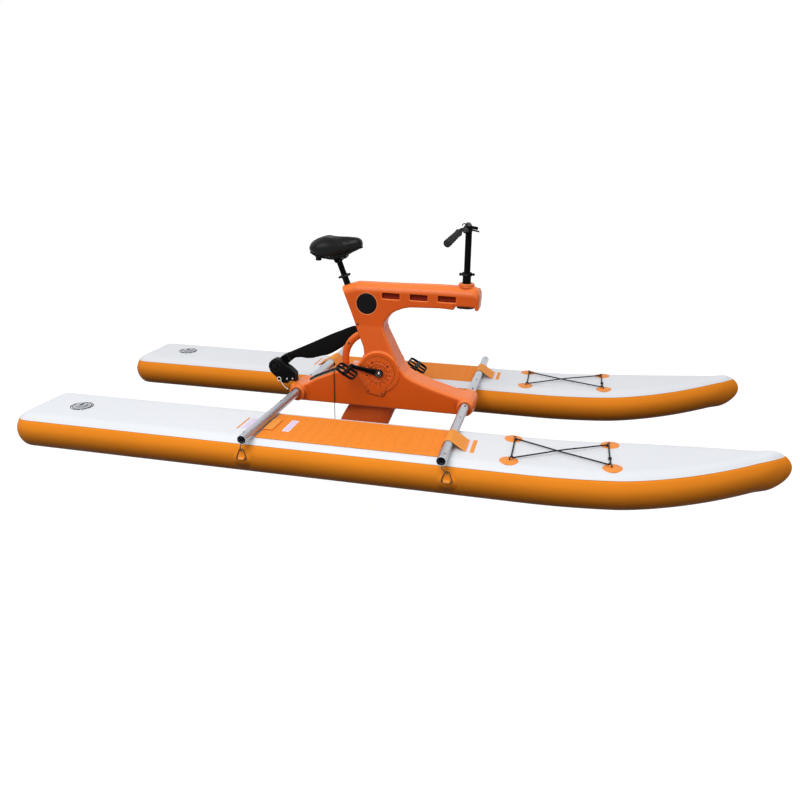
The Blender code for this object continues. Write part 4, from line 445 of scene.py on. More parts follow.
# %% Braid
def braid(name, color, roughness=0.7, pitch=0.0022):
    look, recipe, into = new_finish(name, roughness, shine=0.25)
    parts = recipe.node("ShaderNodeSeparateXYZ", Vector=recipe.place()).outputs
    turn = 2.0 * math.pi / pitch
    first = recipe.math("SINE", recipe.math("MULTIPLY", recipe.math("ADD", parts["X"], parts["Z"]), turn))
    second = recipe.math("SINE", recipe.math("MULTIPLY", recipe.math("SUBTRACT", parts["X"], parts["Y"]), turn))
    plait = recipe.math("MULTIPLY", first, second)
    share = recipe.ramp(plait, -1.0, 1.0)
    recipe.put(into["Base Color"], recipe.mix(share, tone(color, 0.7), tone(color, 1.15)))
    recipe.put(into["Normal"], recipe.bump(plait, 0.0002, 0.6))
    return look


BLACK_CORD = braid("black_braid", paint("222426"))
WHITE_CORD = braid("white_braid", paint("ECEAE4"), pitch=0.0016)
GREY_TIE = braid("grey_tie", paint("5C5E62"), pitch=0.0012)
THREAD_ORANGE = braid("sewing_thread", paint("FFC98A"), pitch=0.0008)
BROWN_GAP_SHADE = rubber("brown_gap_shade", paint("5E2208"), 0.6)
CABLE_SHEATH = rubber("cable_sheath", paint("141517"), 0.5)
DARK_WIRE = drawn_metal("dark_wire", paint("3A3B3E"), 0.35, EVEN_GRAIN, 500.0)
print("finishes:", len(bpy.data.materials) - materials_before)

# %% [markdown]
# ## Floats
# Each float is a flat air mattress: thousands of threads inside keep the deck and the bottom parallel, and
# the side is a half ellipse. It could be sculpted, but rows of points from one cross-section rule give an
# even skin. The orange rail band is glued over the edge of the white deck sheet, so the seam has a small
# step, with a line of tape along it.

# %% Helpers that turn points into a piece
def net(builder, rows, closed=False, caps=False, look=0):
    """Faces between rows of points; closed joins each row's ends."""
    grid = [[builder.verts.new(point) for point in row] for row in rows]
    count = len(rows[0])
    for first, second in zip(grid, grid[1:]):
        for index in range(count if closed else count - 1):
            after = (index + 1) % count
            face = builder.faces.new((first[index], first[after], second[after], second[index]))
            face.material_index = look
    if caps:
        for row in (grid[0], grid[-1]):
            builder.faces.new(row).material_index = look
    return grid


def new_piece(name, builder, looks, body="hull", stands_for=(), sharp=None):
    """The finished mesh gets its finishes and rides on a body; with no body it stays unattached."""
    bmesh.ops.remove_doubles(builder, verts=builder.verts, dist=1e-6)
    bmesh.ops.recalc_face_normals(builder, faces=builder.faces)
    mesh = bpy.data.meshes.new(name)
    builder.to_mesh(mesh)
    builder.free()
    for look in looks:
        mesh.materials.append(look)
    mesh.shade_smooth()
    if sharp:
        mesh.set_sharp_from_angle(angle=math.radians(sharp))
    piece = bpy.data.objects.new(name, mesh)
    bpy.context.scene.collection.objects.link(piece)
    if body:
        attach(piece, body)
    if stands_for:
        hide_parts(*stands_for)
    return piece


# %% Circles and turned shapes
def round_turns(steps):
    """Angles that go once round a circle."""
    return [2.0 * math.pi * step / steps for step in range(steps)]


def side_ring(x, y, z, radius, steps):
    """Points on a circle that faces sideways."""
    return [Vector((x + radius * math.cos(turn), y, z + radius * math.sin(turn)))
            for turn in round_turns(steps)]


def turned_rows(profile, place, sides):
    """A ring of points for each (height, radius) pair, round the z axis of place."""
    return [[place @ Vector((radius * math.cos(turn), radius * math.sin(turn), height))
             for turn in round_turns(sides)] for height, radius in profile]


def lathe(builder, profile, place, sides=48, look=0):
    """A solid turned from (height, radius) pairs."""
    return net(builder, turned_rows(profile, place, sides), closed=True, caps=True, look=look)


# %% Bent wires and smooth lines
def through(four, share):
    """A place between the second and third of four points, on the smooth curve through them all."""
    before, start, end, after = four
    return 0.5 * (2.0 * start + (end - before) * share
                  + (2.0 * before - 5.0 * start + 4.0 * end - after) * share ** 2
                  + (3.0 * start - before - 3.0 * end + after) * share ** 3)


def wire(builder, path, radius, sides=10, closed=False, look=0, flat=1.0):
    """A round wire along points; flat squeezes it along its first side."""
    points = [Vector(point) for point in path]
    count = len(points)
    rows, side = [], None
    for index, point in enumerate(points):
        before = points[index - 1] if closed or index else point
        after = points[(index + 1) % count] if closed or index < count - 1 else point
        along = (after - before).normalized()
        if side is None:
            side = along.orthogonal().normalized()
        side = (side - along * side.dot(along)).normalized()
        other = along.cross(side)
        rows.append([point + side * radius * flat * math.cos(turn) + other * radius * math.sin(turn)
                     for turn in round_turns(sides)])
    if closed:
        rows.append(rows[0])
    return net(builder, rows, closed=True, caps=not closed, look=look)


def smooth_line(points, steps=8, closed=False):
    """A Catmull-Rom line through the points."""
    spots = [Vector(point) for point in points]
    count = len(spots)
    line = []
    for index in range(count if closed else count - 1):
        if closed:
            four = [spots[(index + shift) % count] for shift in (-1, 0, 1, 2)]
        else:
            four = [spots[min(max(index + shift, 0), count - 1)] for shift in (-1, 0, 1, 2)]
        for step in range(steps):
            line.append(through(four, step / steps))
    return line if closed else line + [spots[-1]]


# %% The float's outline
FLOAT_Y = 0.600         # from the craft's middle to the middle of a float
THICK, WIDE = 0.200, 0.500
TAIL_X, NOSE_X = -1.980, 2.106
LIFT_X, TAPER_X, NOSE_RISE = 0.903, 1.348, 0.143
NOSE_CURVE, NOSE_FULLNESS = 1.46, 0.75
TAIL_CORNER = 0.120


def nose_lift(x):
    """How far the nose is bent up at x."""
    return NOSE_RISE * max(0.0, (x - LIFT_X) / (NOSE_X - LIFT_X)) ** 2


def half_width(x):
    """Rounded tail corners, straight sides, and a nose that narrows in a curve."""
    if x > TAPER_X:
        reach = min(1.0, (x - TAPER_X) / (NOSE_X - TAPER_X))
        return WIDE / 2.0 * max(1.0 - reach ** NOSE_CURVE, 1e-4) ** NOSE_FULLNESS
    corner = max(0.0, TAIL_CORNER - (x - TAIL_X))
    return WIDE / 2.0 - TAIL_CORNER + math.sqrt(TAIL_CORNER ** 2 - corner ** 2)


print("a float is", round(NOSE_X - TAIL_X, 3), "m long,", WIDE, "m wide and", THICK, "m thick")

# %% The float's cross-section
SIDE_ROUND, END_ROUND = 0.085, 0.085
SEAM = math.sin(math.radians(45.0))     # height of the seam over the middle, as a share of half the thickness
RAIL_STEP = 0.0009                      # the rail band stands this far out of the deck sheet
NOSE_BULGE, BULGE_LENGTH = 0.026, 0.22  # the lower nose stands ahead of the deck's tip
BULGE_DROP, BULGE_REACH = 0.008, 0.108  # most of all just under half height
DECK_SPOTS = 12                         # places in a row from the deck's middle to the seam


def seam_angle(fullness):
    """Where the seam is on the side's round. An end thinner than the seam's height is rail all across."""
    if fullness < SEAM:
        return math.radians(90.0 - 60.0 * (1.0 - fullness / SEAM))
    return math.radians(min(84.0, math.degrees(math.asin(SEAM / fullness))))


def float_row(x, fullness, middle_y):
    """One closed row: half the deck, the round side, half the bottom, and the same on the other hand."""
    half, thick = half_width(x), THICK / 2.0 * fullness
    side = min(SIDE_ROUND, half * 0.95)
    out = RAIL_STEP * min(1.0, fullness * 2.0)
    past = fullness < SEAM
    seam = seam_angle(fullness)
    cover = out if past else 0.0
    spots = [((half - side) * share, thick + cover) for share in (0.0, 0.25, 0.5, 0.75)]
    for step in range(9):
        angle = math.pi / 2.0 + (seam - math.pi / 2.0) * step / 8
        spots.append((half - side + (side + cover) * math.cos(angle), (thick + cover) * math.sin(angle)))
    for step in range(21):
        angle = seam - (seam + math.pi / 2.0) * (step + past) / (20 + past)
        spots.append((half - side + (side + out) * math.cos(angle), (thick + out) * math.sin(angle)))
    spots += [((half - side) * share, -thick) for share in (0.6, 0.0)]
    both = [(y, z) for y, z in spots] + [(-y, z) for y, z in spots[-2:0:-1]]
    ahead = max(0.0, 1.0 - (NOSE_X - x) / BULGE_LENGTH) ** 2 * NOSE_BULGE
    return [Vector((x + ahead * max(0.0, 1.0 - ((z + BULGE_DROP) / BULGE_REACH) ** 2), middle_y + y,
                    THICK / 2.0 + nose_lift(x) + z)) for y, z in both]


# %% Stations from tail to nose
def float_stations():
    """(x, fullness) from tail to nose; the ends round off like the sides."""
    bends = [math.radians(angle) for angle in (0, 4, 9, 15, 22, 30, 38, 45, 52, 60, 68, 76, 84, 90)]
    tail = [(TAIL_X + END_ROUND * (1.0 - math.cos(bend)), math.sin(bend)) for bend in bends]
    tail += [(TAIL_X + END_ROUND + 0.035 * step / 4, 1.0) for step in range(1, 5)]
    straight = [(-1.8 + 0.08 * step, 1.0) for step in range(33)]
    nose = [(0.86 + (NOSE_X - END_ROUND - 0.86) * step / 64, 1.0) for step in range(65)]
    tip = [(NOSE_X - END_ROUND * (1.0 - math.cos(bend)), math.sin(bend)) for bend in bends[-2::-1]]
    return tail + straight + nose + tip


stations = float_stations()
print("stations along a float:", len(stations))

# %% Build both shells
SIDES = ((-1, "right"), (1, "left"))    # hand is the sign of y on that side

for hand, side in SIDES:
    shell = bmesh.new()
    grid = net(shell, [float_row(x, fullness, hand * FLOAT_Y) for x, fullness in stations], closed=True)
    count = len(grid[0])
    white = {*range(DECK_SPOTS), *range(count - DECK_SPOTS, count)}
    faces = iter(shell.faces)
    for (_, first), (_, second) in zip(stations, stations[1:]):
        on_deck = min(first, second) > SEAM - 0.001
        for index in range(count):
            next(faces).material_index = 0 if on_deck and index in white else 1
    piece = new_piece(f"{side}_float_shell", shell, (DECK_WHITE, RAIL_ORANGE), "hull", (f"{side}_float",))
    print(piece.name, len(piece.data.polygons), "faces")
    tape = bmesh.new()
    rows = [float_row(x, fullness, hand * FLOAT_Y) for x, fullness in stations if fullness > SEAM + 0.01]
    tail = float_row(*next(station for station in stations if station[1] > SEAM - 0.001), hand * FLOAT_Y)
    line = [row[DECK_SPOTS] for row in reversed(rows[:-1])]
    line += [tail[index % count] for index in range(DECK_SPOTS - 4, -DECK_SPOTS + 3, -1)]
    line += [row[count - DECK_SPOTS] for row in rows[:-1]]
    wire(tape, [spot + Vector((0.0, 0.0, 0.0002)) for spot in line], 0.0013, 6)
    new_piece(f"{side}_seam_tape", tape, (SEAM_BROWN,))

# %% [markdown]
# ## Patches, loops and rings on the floats
# Everything fixed to a float is bonded on with a patch of the same cloth. A patch is a thin disc with a soft
# edge, and a second small disc sits under its loop. On the round side the disc has to bend, so its points are
# laid on the side's own curve.

# %% Where the deck patches sit
PATCH_X, PATCH_ACROSS = (0.830, 1.319), 0.142
CORD_ORDER = (0, 3, 2, 1)
LOOP_INSET = 0.018      # the loops sit off the patches' middles, toward the cord


def patch_places(hand):
    """Two patches near the frame and two further forward, beside the float's middle line."""
    return [Vector((x, hand * FLOAT_Y + way * PATCH_ACROSS, THICK + nose_lift(x)))
            for x in PATCH_X for way in (-1, 1)]


def cord_pull(places, index):
    """The way the cord pulls at a patch, and the way it runs through the loop."""
    at = CORD_ORDER.index(index)
    to_before = (places[CORD_ORDER[at - 1]] - places[index]).normalized()
    to_after = (places[CORD_ORDER[(at + 1) % 4]] - places[index]).normalized()
    return (to_before + to_after).normalized(), (to_after - to_before).normalized()


print("patches on a deck:", len(patch_places(1)))


# %% Deck patches with their cord loops
def deck_patch(builder, place, inward):
    """A patch on the bent-up deck, with a folded tab and a plastic loop that lean toward the cord."""
    slope = math.atan(2.0 * NOSE_RISE * max(0.0, place.x - LIFT_X) / (NOSE_X - LIFT_X) ** 2)
    base = Matrix.Translation(place) @ Matrix.Rotation(-slope, 4, "Y")
    lathe(builder, [(-0.002, 0.0475), (0.0006, 0.0475), (0.0012, 0.0468), (0.0014, 0.030), (0.0022, 0.0285),
                    (0.0028, 0.0275), (0.0030, 0.010), (0.0030, 0.002)], base, 56)
    turn = (base @ Matrix.Translation(inward * LOOP_INSET)
            @ Matrix.Rotation(math.atan2(inward.y, inward.x), 4, "Z"))
    tab = []
    for step in range(9):
        angle = math.radians(-20.0 + 220.0 * step / 8)
        y, z = 0.0062 * math.cos(angle), 0.0050 + 0.0052 * math.sin(angle)
        tab.append([turn @ Vector((x, y, z)) for x in (-0.0105, -0.0100, 0.0100, 0.0105)])
    net(builder, tab, look=0)
    bow = [turn @ Vector((0.0152 * math.cos(angle), 0.0, 0.004 + 0.0150 * math.sin(angle)))
           for angle in (math.radians(-14.0 + 208.0 * step / 16) for step in range(17))]
    wire(builder, bow, 0.0028, 12, look=1)


for hand, side in SIDES:
    patches = bmesh.new()
    places = patch_places(hand)
    for index, place in enumerate(places):
        deck_patch(patches, place, cord_pull(places, index)[0])
    piece = new_piece(f"{side}_deck_patches", patches, (PATCH_ORANGE, BLACK_MOULDED), sharp=40)
print("deck patches:", 2 * len(places))

# %% The luggage cord's way
CORD_RADIUS = 0.0038


def luggage_path(hand):
    """Round the four loops and crossed over itself in the middle."""
    places = patch_places(hand)
    lift = Vector((0.0, 0.0, 0.0092))
    bight = ((0.0155, -0.0095), (0.0085, -0.0064), (0.0060, 0.0), (0.0085, 0.0064), (0.0155, 0.0095))
    turns = []
    for index in CORD_ORDER:
        pull, along = cord_pull(places, index)
        turns.append([places[index] + lift + pull * (inward + LOOP_INSET) + along * beside
                      for inward, beside in bight])
    points = []
    for at, turn in enumerate(turns):
        leaves, arrives = turn[-1], turns[(at + 1) % 4][0]
        points += turn
        if at in (0, 2):
            hump = 0.0050 if at == 0 else -0.0026
            for share in (0.28, 0.42, 0.50, 0.58, 0.72):
                rise = hump * (1.0 - (abs(share - 0.5) / 0.22) ** 2 * 0.5)
                points.append(leaves.lerp(arrives, share) + Vector((0.0, 0.0, rise)))
        else:
            points.append(leaves.lerp(arrives, 0.5) - Vector((0.0, 0.0, 0.003)))
    return smooth_line(points, 8, closed=True)


# %% Luggage cords and their knots
def knot(builder, place, along, size, look=0):
    """A small overhand knot: the cord winds once round itself, so it reads as a lumpy bead."""
    side = Vector(along).orthogonal().normalized()
    other = Vector(along).normalized().cross(side)
    turns = []
    for angle in round_turns(36):
        wide = size * (1.0 + 0.45 * math.cos(3.0 * angle))
        spot = side * wide * math.cos(2.0 * angle) + other * wide * math.sin(2.0 * angle)
        turns.append(Vector(place) + spot + Vector(along) * size * 0.9 * math.sin(3.0 * angle))
    wire(builder, turns, size * 0.62, 8, closed=True, look=look)


for hand, side in SIDES:
    cord = bmesh.new()
    path = luggage_path(hand)
    wire(cord, path, CORD_RADIUS, 12, closed=True)
    places = patch_places(hand)
    middle = (places[2] + places[3]) / 2.0 + Vector((0.0, -0.048, 0.0085))
    knot(cord, min(path, key=lambda spot: (spot - middle).length), (0.0, 1.0, 0.0), 0.0048)
    piece = new_piece(f"{side}_luggage_cord", cord, (BLACK_CORD,), "hull", (f"{side}_bungee",))
print("luggage cord radius", CORD_RADIUS)

# %% [markdown]
# The side patches sit on the round side under each tube's end. A tunnel of webbing holds the straight bar of
# a bent wire ring. A short tie comes out of the tube's open end, round the ring's bow, and keeps the tube
# down. The ring can swing; the tie rides on no body.

# %% Side patches
RING_BAR_Z, PATCH_Z = 0.102, 0.0925
TUNNEL_HALF = 0.0160


def side_reach(z):
    """How far out the float's side is at height z."""
    share = (z - THICK / 2.0) / (THICK / 2.0)
    return FLOAT_Y + WIDE / 2.0 - SIDE_ROUND * (1.0 - math.sqrt(max(0.0, 1.0 - share ** 2)))


def side_patch(builder, hand, x):
    """A disc bent round the side, and a folded strip of webbing over the ring's bar."""
    rows = []
    for radius, rise in ((0.0505, -0.0005), (0.0505, 0.0016), (0.0495, 0.0022), (0.030, 0.0023),
                         (0.0285, 0.0032), (0.012, 0.0036), (0.002, 0.0036)):
        turns = round_turns(48)
        heights = [PATCH_Z + radius * math.sin(turn) for turn in turns]
        rows.append([Vector((x + radius * math.cos(turn), hand * (side_reach(z) + rise), z))
                     for turn, z in zip(turns, heights)])
    net(builder, rows, closed=True, caps=True)
    strip = [(-TUNNEL_HALF, 0.0), (-0.0157, 0.0012), (0.0157, 0.0012), (TUNNEL_HALF, 0.0)]
    middle_y = side_reach(RING_BAR_Z) + 0.004
    tunnel = []
    for step in range(17):
        angle = math.radians(-110.0 + 220.0 * step / 16)
        tunnel.append([Vector((x + wide, hand * (middle_y + (0.0084 + out) * math.cos(angle)),
                               RING_BAR_Z + (0.0080 + out) * math.sin(angle))) for wide, out in strip])
    net(builder, tunnel, closed=True, caps=True, look=1)


print("side patches at z", PATCH_Z)

# %% Rings and ties
TUBE_X, TUBE_Z, TUBE_HALF = 0.518, 0.226, 0.892
TUBE_LIP_Z = TUBE_Z - 0.0235
RING_OUT = 0.025        # the rings sit further from the middle than the tubes
ENDS = ((1, "front"), (-1, "rear"))
TIE_RUN = (
    # out from the tube's middle, y, height over the lower lip of the tube's end
    (0.0, 0.850, 0.0035), (0.001, 0.880, 0.0030), (0.002, 0.8945, -0.0005), (0.007, 0.8935, -0.014),
    (0.019, 0.877, -0.036), (0.0245, 0.8655, -0.0500), (0.0265, 0.8560, -0.0555), (0.0275, 0.8470, -0.0490),
)


def ring_path(hand, x):
    """A straight bar in the tunnel and a narrow bow that leans on the float."""
    half = [(0.0265, 0.0), (0.0262, 0.006), (0.0225, 0.020), (0.0135, 0.0430), (0.0075, 0.0515), (0.0, 0.0535)]
    flat = half + [(-across, up) for across, up in half[-2::-1]]
    lean = math.tan(math.radians(8.0))
    y = FLOAT_Y + WIDE / 2.0 + 0.0075
    bow = smooth_line([(x + across, hand * (y - lean * up), RING_BAR_Z + up) for across, up in flat], 5)
    bar = [Vector((x - 0.0265 + 0.053 * step / 8, hand * y, RING_BAR_Z - 0.0004)) for step in range(1, 8)]
    return bow + bar


for hand, side in SIDES:
    patches = bmesh.new()
    for way, end in ENDS:
        x = way * (TUBE_X + RING_OUT)
        side_patch(patches, hand, x)
        ring = bmesh.new()
        wire(ring, ring_path(hand, x), 0.0023, 12, closed=True)
        piece = new_piece(f"{side}_{end}_wire_ring", ring, (DARK_WIRE,), f"{side}_{end}_ring_unit",
                          (f"{side}_{end}_ring",))
        tie = bmesh.new()
        run = [(way * (TUBE_X + out), hand * y, TUBE_LIP_Z + rise) for out, y, rise in TIE_RUN]
        wire(tie, smooth_line(run, 6), 0.0026, 10, flat=0.55)
        piece = new_piece(f"{side}_{end}_tie", tie, (GREY_TIE,), body=None)
        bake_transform(piece)
    piece = new_piece(f"{side}_side_patches", patches, (RAIL_ORANGE, STRAP_ORANGE), sharp=40)
print("rings and ties:", 2 * len(ENDS))

# %% [markdown]
# ## Deck pads
# A pad is a sheet of soft foam between the tubes. Rows of sewn grooves cross it, and a fine diamond grain
# keeps feet from slipping. The grooves wander a little, as a hand-fed sheet does. They are real dents in a
# dense grid of points, so they also catch a low light.

# %% A soft slab with rounded corners
def slab(builder, middle, half_x, half_y, corner, base_z, top, columns, rows, look=0):
    """A grid squeezed into a rounded rectangle; top(x, y, inset) gives the height over the base."""
    spots = []
    for row in range(rows + 1):
        line = []
        for column in range(columns + 1):
            x = half_x * (2.0 * column / columns - 1.0)
            y = half_y * (2.0 * row / rows - 1.0)
            out_x, out_y = abs(x) - (half_x - corner), abs(y) - (half_y - corner)
            inset = min(half_x - abs(x), half_y - abs(y))
            if out_x > 0.0 and out_y > 0.0:
                square, away = max(out_x, out_y), math.hypot(out_x, out_y)
                x = math.copysign(half_x - corner + out_x * square / away, x)
                y = math.copysign(half_y - corner + out_y * square / away, y)
                inset = corner - square
            line.append(Vector((middle[0] + x, middle[1] + y, base_z + top(x, y, inset))))
        spots.append(line)
    before = set(builder.faces)
    net(builder, spots, look=look)
    rim = [edge for edge in builder.edges if edge.is_boundary and edge.link_faces[0] not in before]
    made = bmesh.ops.extrude_edge_only(builder, edges=rim)["geom"]
    for vertex in (item for item in made if isinstance(item, bmesh.types.BMVert)):
        vertex.co.z = base_z
    under = [item for item in made if isinstance(item, bmesh.types.BMEdge) and item.is_boundary]
    bmesh.ops.edgeloop_fill(builder, edges=under)
    for face in builder.faces:
        if face not in before:
            face.material_index = look


def rounded_edge(inset, radius):
    """A quarter round: 0 at the edge, 1 from radius inward."""
    return math.sqrt(max(0.0, 1.0 - (1.0 - min(1.0, inset / radius)) ** 2))


def flat_top(height, radius):
    """A top for slab: flat, with a round edge."""
    return lambda x, y, inset: height * (0.2 + 0.8 * rounded_edge(inset, radius))


# %% The pad's grooved top
PAD_HALF_X, PAD_HALF_Y, PAD_Y = 0.495, 0.172, 0.614
PAD_THICK, PAD_ROWS = 0.006, 15
PAD_PITCH = 2.0 * PAD_HALF_X / (PAD_ROWS + 1)


def pad_top(x, y, inset):
    """Height of the pad's top with its sewn grooves, the swell between them and the diamond grain."""
    wander = 0.0035 * math.sin(9.0 * y + 2.3 * x) + 0.0015 * math.sin(31.0 * y + 11.0 * x)
    place = (x + wander + PAD_HALF_X) / PAD_PITCH
    away = abs(place - round(place)) * PAD_PITCH
    inside = min(1.0, inset / 0.020)
    groove = 0.0022 * math.exp(-(away / 0.0040) ** 2) * inside
    swell = 0.0007 * math.cos(2.0 * math.pi * place) * inside
    cross = min(abs(math.sin(math.pi * (x + y) / 0.030)), abs(math.sin(math.pi * (x - y) / 0.030)))
    diamond = 0.0005 * math.exp(-(cross / 0.25) ** 2) * inside
    return (PAD_THICK - 0.0004) * (0.25 + 0.75 * rounded_edge(inset, 0.004)) - groove - swell - diamond


print("pad grooves every", round(PAD_PITCH * 1000.0, 1), "mm")

# %% Both pads with their bare labels
LABEL_X, LABEL_Y = -0.3645, 0.601
PAD_TOP_Z = THICK + PAD_THICK - 0.0004

for hand, side in SIDES:
    pad = bmesh.new()
    slab(pad, (0.0, hand * PAD_Y), PAD_HALF_X, PAD_HALF_Y, 0.012, THICK + 0.0003, pad_top, 430, 96)
    piece = new_piece(f"{side}_foam_pad", pad, (PAD_ORANGE,), "hull", (f"{side}_deck_pad",), sharp=60)
    label = bmesh.new()
    middle = (LABEL_X, hand * LABEL_Y)
    slab(label, middle, 0.0225, 0.082, 0.004, PAD_TOP_Z, flat_top(0.0010, 0.001), 12, 40)
    slab(label, middle, 0.0165, 0.075, 0.002, PAD_TOP_Z + 0.0009, flat_top(0.0006, 0.0006), 10, 36, 1)
    new_piece(f"{side}_pad_label", label, (PALE_BAND, LILAC_PATCH), sharp=50)
    print(piece.name, len(piece.data.polygons), "faces")

# %% [markdown]
# ## Straps
# A strap of doubled webbing goes over each tube and is pressed on a hook patch of the deck. The right rear
# one is open and lies folded on the end of its pad. Webbing hardly stretches, so a strap is a ribbon swept
# along its side view, with a thread of stitches along its edges.

# %% Ribbon
def path_normals(path):
    """The way out of the cloth at each (x, z) place."""
    normals = []
    for index, point in enumerate(path):
        before, after = path[max(index - 1, 0)], path[min(index + 1, len(path) - 1)]
        along = (Vector(after) - Vector(before)).normalized()
        normals.append(Vector((-along.y, along.x)))
    return normals


def ribbon(builder, path, middle_y, half, thick, ripple=0.0, columns=36, look=0):
    """A strip swept along (x, z) places, which run through the middle of its thickness."""
    rows = []
    for index, (point, normal) in enumerate(zip(path, path_normals(path))):
        share = index / (len(path) - 1)
        upper, lower = [], []
        for column in range(columns + 1):
            y = half * (2.0 * column / columns - 1.0)
            edge = rounded_edge(half - abs(y), 0.0012)
            wave = ripple * math.sin(math.pi * share) * math.sin(55.0 * y + 3.0 * share)
            for line, out in ((upper, thick * 0.5 * edge + wave), (lower, -thick * 0.5 * edge + wave)):
                line.append(Vector((point[0] + normal.x * out, middle_y + y, point[1] + normal.y * out)))
        rows.append(upper + lower[::-1])
    net(builder, rows, closed=True, caps=True, look=look)


# %% Stitches
UP = Vector((0.0, 0.0, 1.0))


def stitches(builder, path, pitch=0.0048, length=0.0032, radius=0.00045, look=0):
    """Short raised threads along a line."""
    walked, due = 0.0, pitch / 2.0
    for first, second in zip(path, path[1:]):
        first, second = Vector(first), Vector(second)
        step = (second - first).length
        if step < 1e-6:
            continue
        along = (second - first) / step
        while due <= walked + step:
            middle = first + along * (due - walked)
            spots = [middle + along * length * share + UP * rise
                     for share, rise in ((-0.5, -0.0003), (-0.25, 0.0003), (0.25, 0.0003), (0.5, -0.0003))]
            wire(builder, spots, radius, 5, look=look)
            due += pitch
        walked += step


# %% How the straps lie
def closed_path(way):
    """Up behind the tube, over it, and straight down to the hook patch."""
    deck, inside = THICK + 0.0016, 0.0270
    turns = [math.radians(161.0 - 106.0 * step / 30) for step in range(31)]
    spots = [(-0.0390, deck + PAD_THICK - 0.0005), (-0.0370, deck + PAD_THICK - 0.0003)]
    spots += [(inside * math.cos(turn), TUBE_Z + inside * math.sin(turn)) for turn in turns]
    start, end = spots[-1], (0.0825, THICK + 0.0038)
    spots += [(start[0] + (end[0] - start[0]) * step / 12, start[1] + (end[1] - start[1]) * step / 12)
              for step in range(1, 13)]
    spots += [(0.0860, THICK + 0.0027), (0.0910, THICK + 0.0026)]
    return [Vector((way * (TUBE_X + x), z)) for x, z in spots]


def folded_path(way):
    """Three layers, folded to and fro on the end of the pad."""
    low, layer = THICK + PAD_THICK + 0.0012, 0.0021
    spots = []
    for number, (start, end) in enumerate(((-0.0300, -0.0795), (-0.0795, -0.0305), (-0.0305, -0.0800))):
        z = low + layer * number
        spots += [(start + (end - start) * step / 8, z + 0.0003 * math.sin(math.pi * step / 8))
                  for step in range(9)]
        if number < 2:
            bulge = math.copysign(0.0010, end - start)
            spots.append((end + bulge, z + layer / 2.0))
    return [Vector((way * (TUBE_X + x), z)) for x, z in spots]


def path_length(path):
    return sum((second - first).length for first, second in zip(path, path[1:]))


print("a closed strap is", round(path_length(closed_path(1)), 3), "m long")

# %% Closed straps and the folded one
STRAP_Y, STRAP_HALF, STRAP_THICK = 0.612, 0.078, 0.0024
FOLDED_THICK, STRAP_RIPPLE = 0.0017, 0.0006
SEWN_AT = 0.0735        # the rows of stitches run this far from the strap's middle

for hand, side in SIDES:
    middle = hand * STRAP_Y
    for way, end in ENDS:
        undone = (hand, way) == (-1, -1)
        path = folded_path(way) if undone else closed_path(way)
        if way < 0:
            path = path[::-1]
        strap = bmesh.new()
        if undone:
            ribbon(strap, path, middle, STRAP_HALF, FOLDED_THICK)
        else:
            ribbon(strap, path, middle, STRAP_HALF, STRAP_THICK, STRAP_RIPPLE)
            half = STRAP_THICK / 2.0
            for y in (-SEWN_AT, SEWN_AT):
                line = [(p.x + n.x * half, middle + y, p.y + n.y * half)
                        for p, n in zip(path, path_normals(path))]
                stitches(strap, line[3:-3], look=1)
            for out, rise in ((0.0880, 0.0038), (0.0770, 0.0089)):
                row = [(way * (TUBE_X + out), middle + y, THICK + rise) for y in (-0.073, 0.073)]
                stitches(strap, row, look=1)
        piece = new_piece(f"{side}_{end}_webbing", strap, (STRAP_ORANGE, THREAD_ORANGE), "hull",
                          (f"{side}_{end}_strap",), sharp=50)
        print(piece.name, "length", round(path_length(path), 3))

# %% Hook patches and end strips on the deck
HOOK_OUT, STRIP_OUT = 0.0820, 0.1210        # how far they lie from the tube's middle

for hand, side in SIDES:
    grounds = bmesh.new()
    for way, end in ENDS:
        hook = (way * (TUBE_X + HOOK_OUT), hand * STRAP_Y)
        strip = (way * (TUBE_X + STRIP_OUT), hand * STRAP_Y)
        strip_half = 0.0110 if end == "front" else 0.0045
        slab(grounds, hook, 0.0215, 0.0790, 0.002, THICK, flat_top(0.0008, 0.001), 10, 30, 0)
        slab(grounds, hook, 0.0185, 0.0760, 0.001, THICK + 0.0006, flat_top(0.0006, 0.0006), 10, 30, 1)
        slab(grounds, strip, strip_half, 0.0830, 0.001, THICK, flat_top(0.0016, 0.0008), 6, 30, 2)
        for across in (-0.7, 0.7):
            row = [(strip[0] + across * strip_half, strip[1] + y, THICK + 0.0017) for y in (-0.081, 0.081)]
            stitches(grounds, row, look=3)
    piece = new_piece(f"{side}_strap_grounds", grounds,
                      (DECK_WHITE, LILAC_PATCH, STRAP_ORANGE, THREAD_ORANGE), sharp=50)
print("hook patches:", 2 * len(ENDS))

# %% [markdown]
# ## Valves
# Each float fills through one valve near its tail: a welded ring, a ridged collar, and a screw cap with a bar
# for the fingers. The cap turns, so it is a piece by itself.

# %% Valve seat
WELD_RADIUS, COLLAR_RADIUS, DASHES, RIDGES = 0.0615, 0.0528, 12, 24
SEAT_PROFILE = ((-0.001, 0.0690), (0.0010, 0.0690), (0.0018, 0.0680), (0.0020, 0.0600), (0.0020, 0.002))
COLLAR_PROFILE = ((0.0015, 0.0510), (0.0042, 0.0500), (0.0050, 0.0480), (0.0050, 0.0425), (0.0040, 0.0410),
                  (0.0040, 0.0345), (0.0062, 0.0335), (0.0062, 0.0325), (0.0035, 0.0322), (0.0035, 0.002))


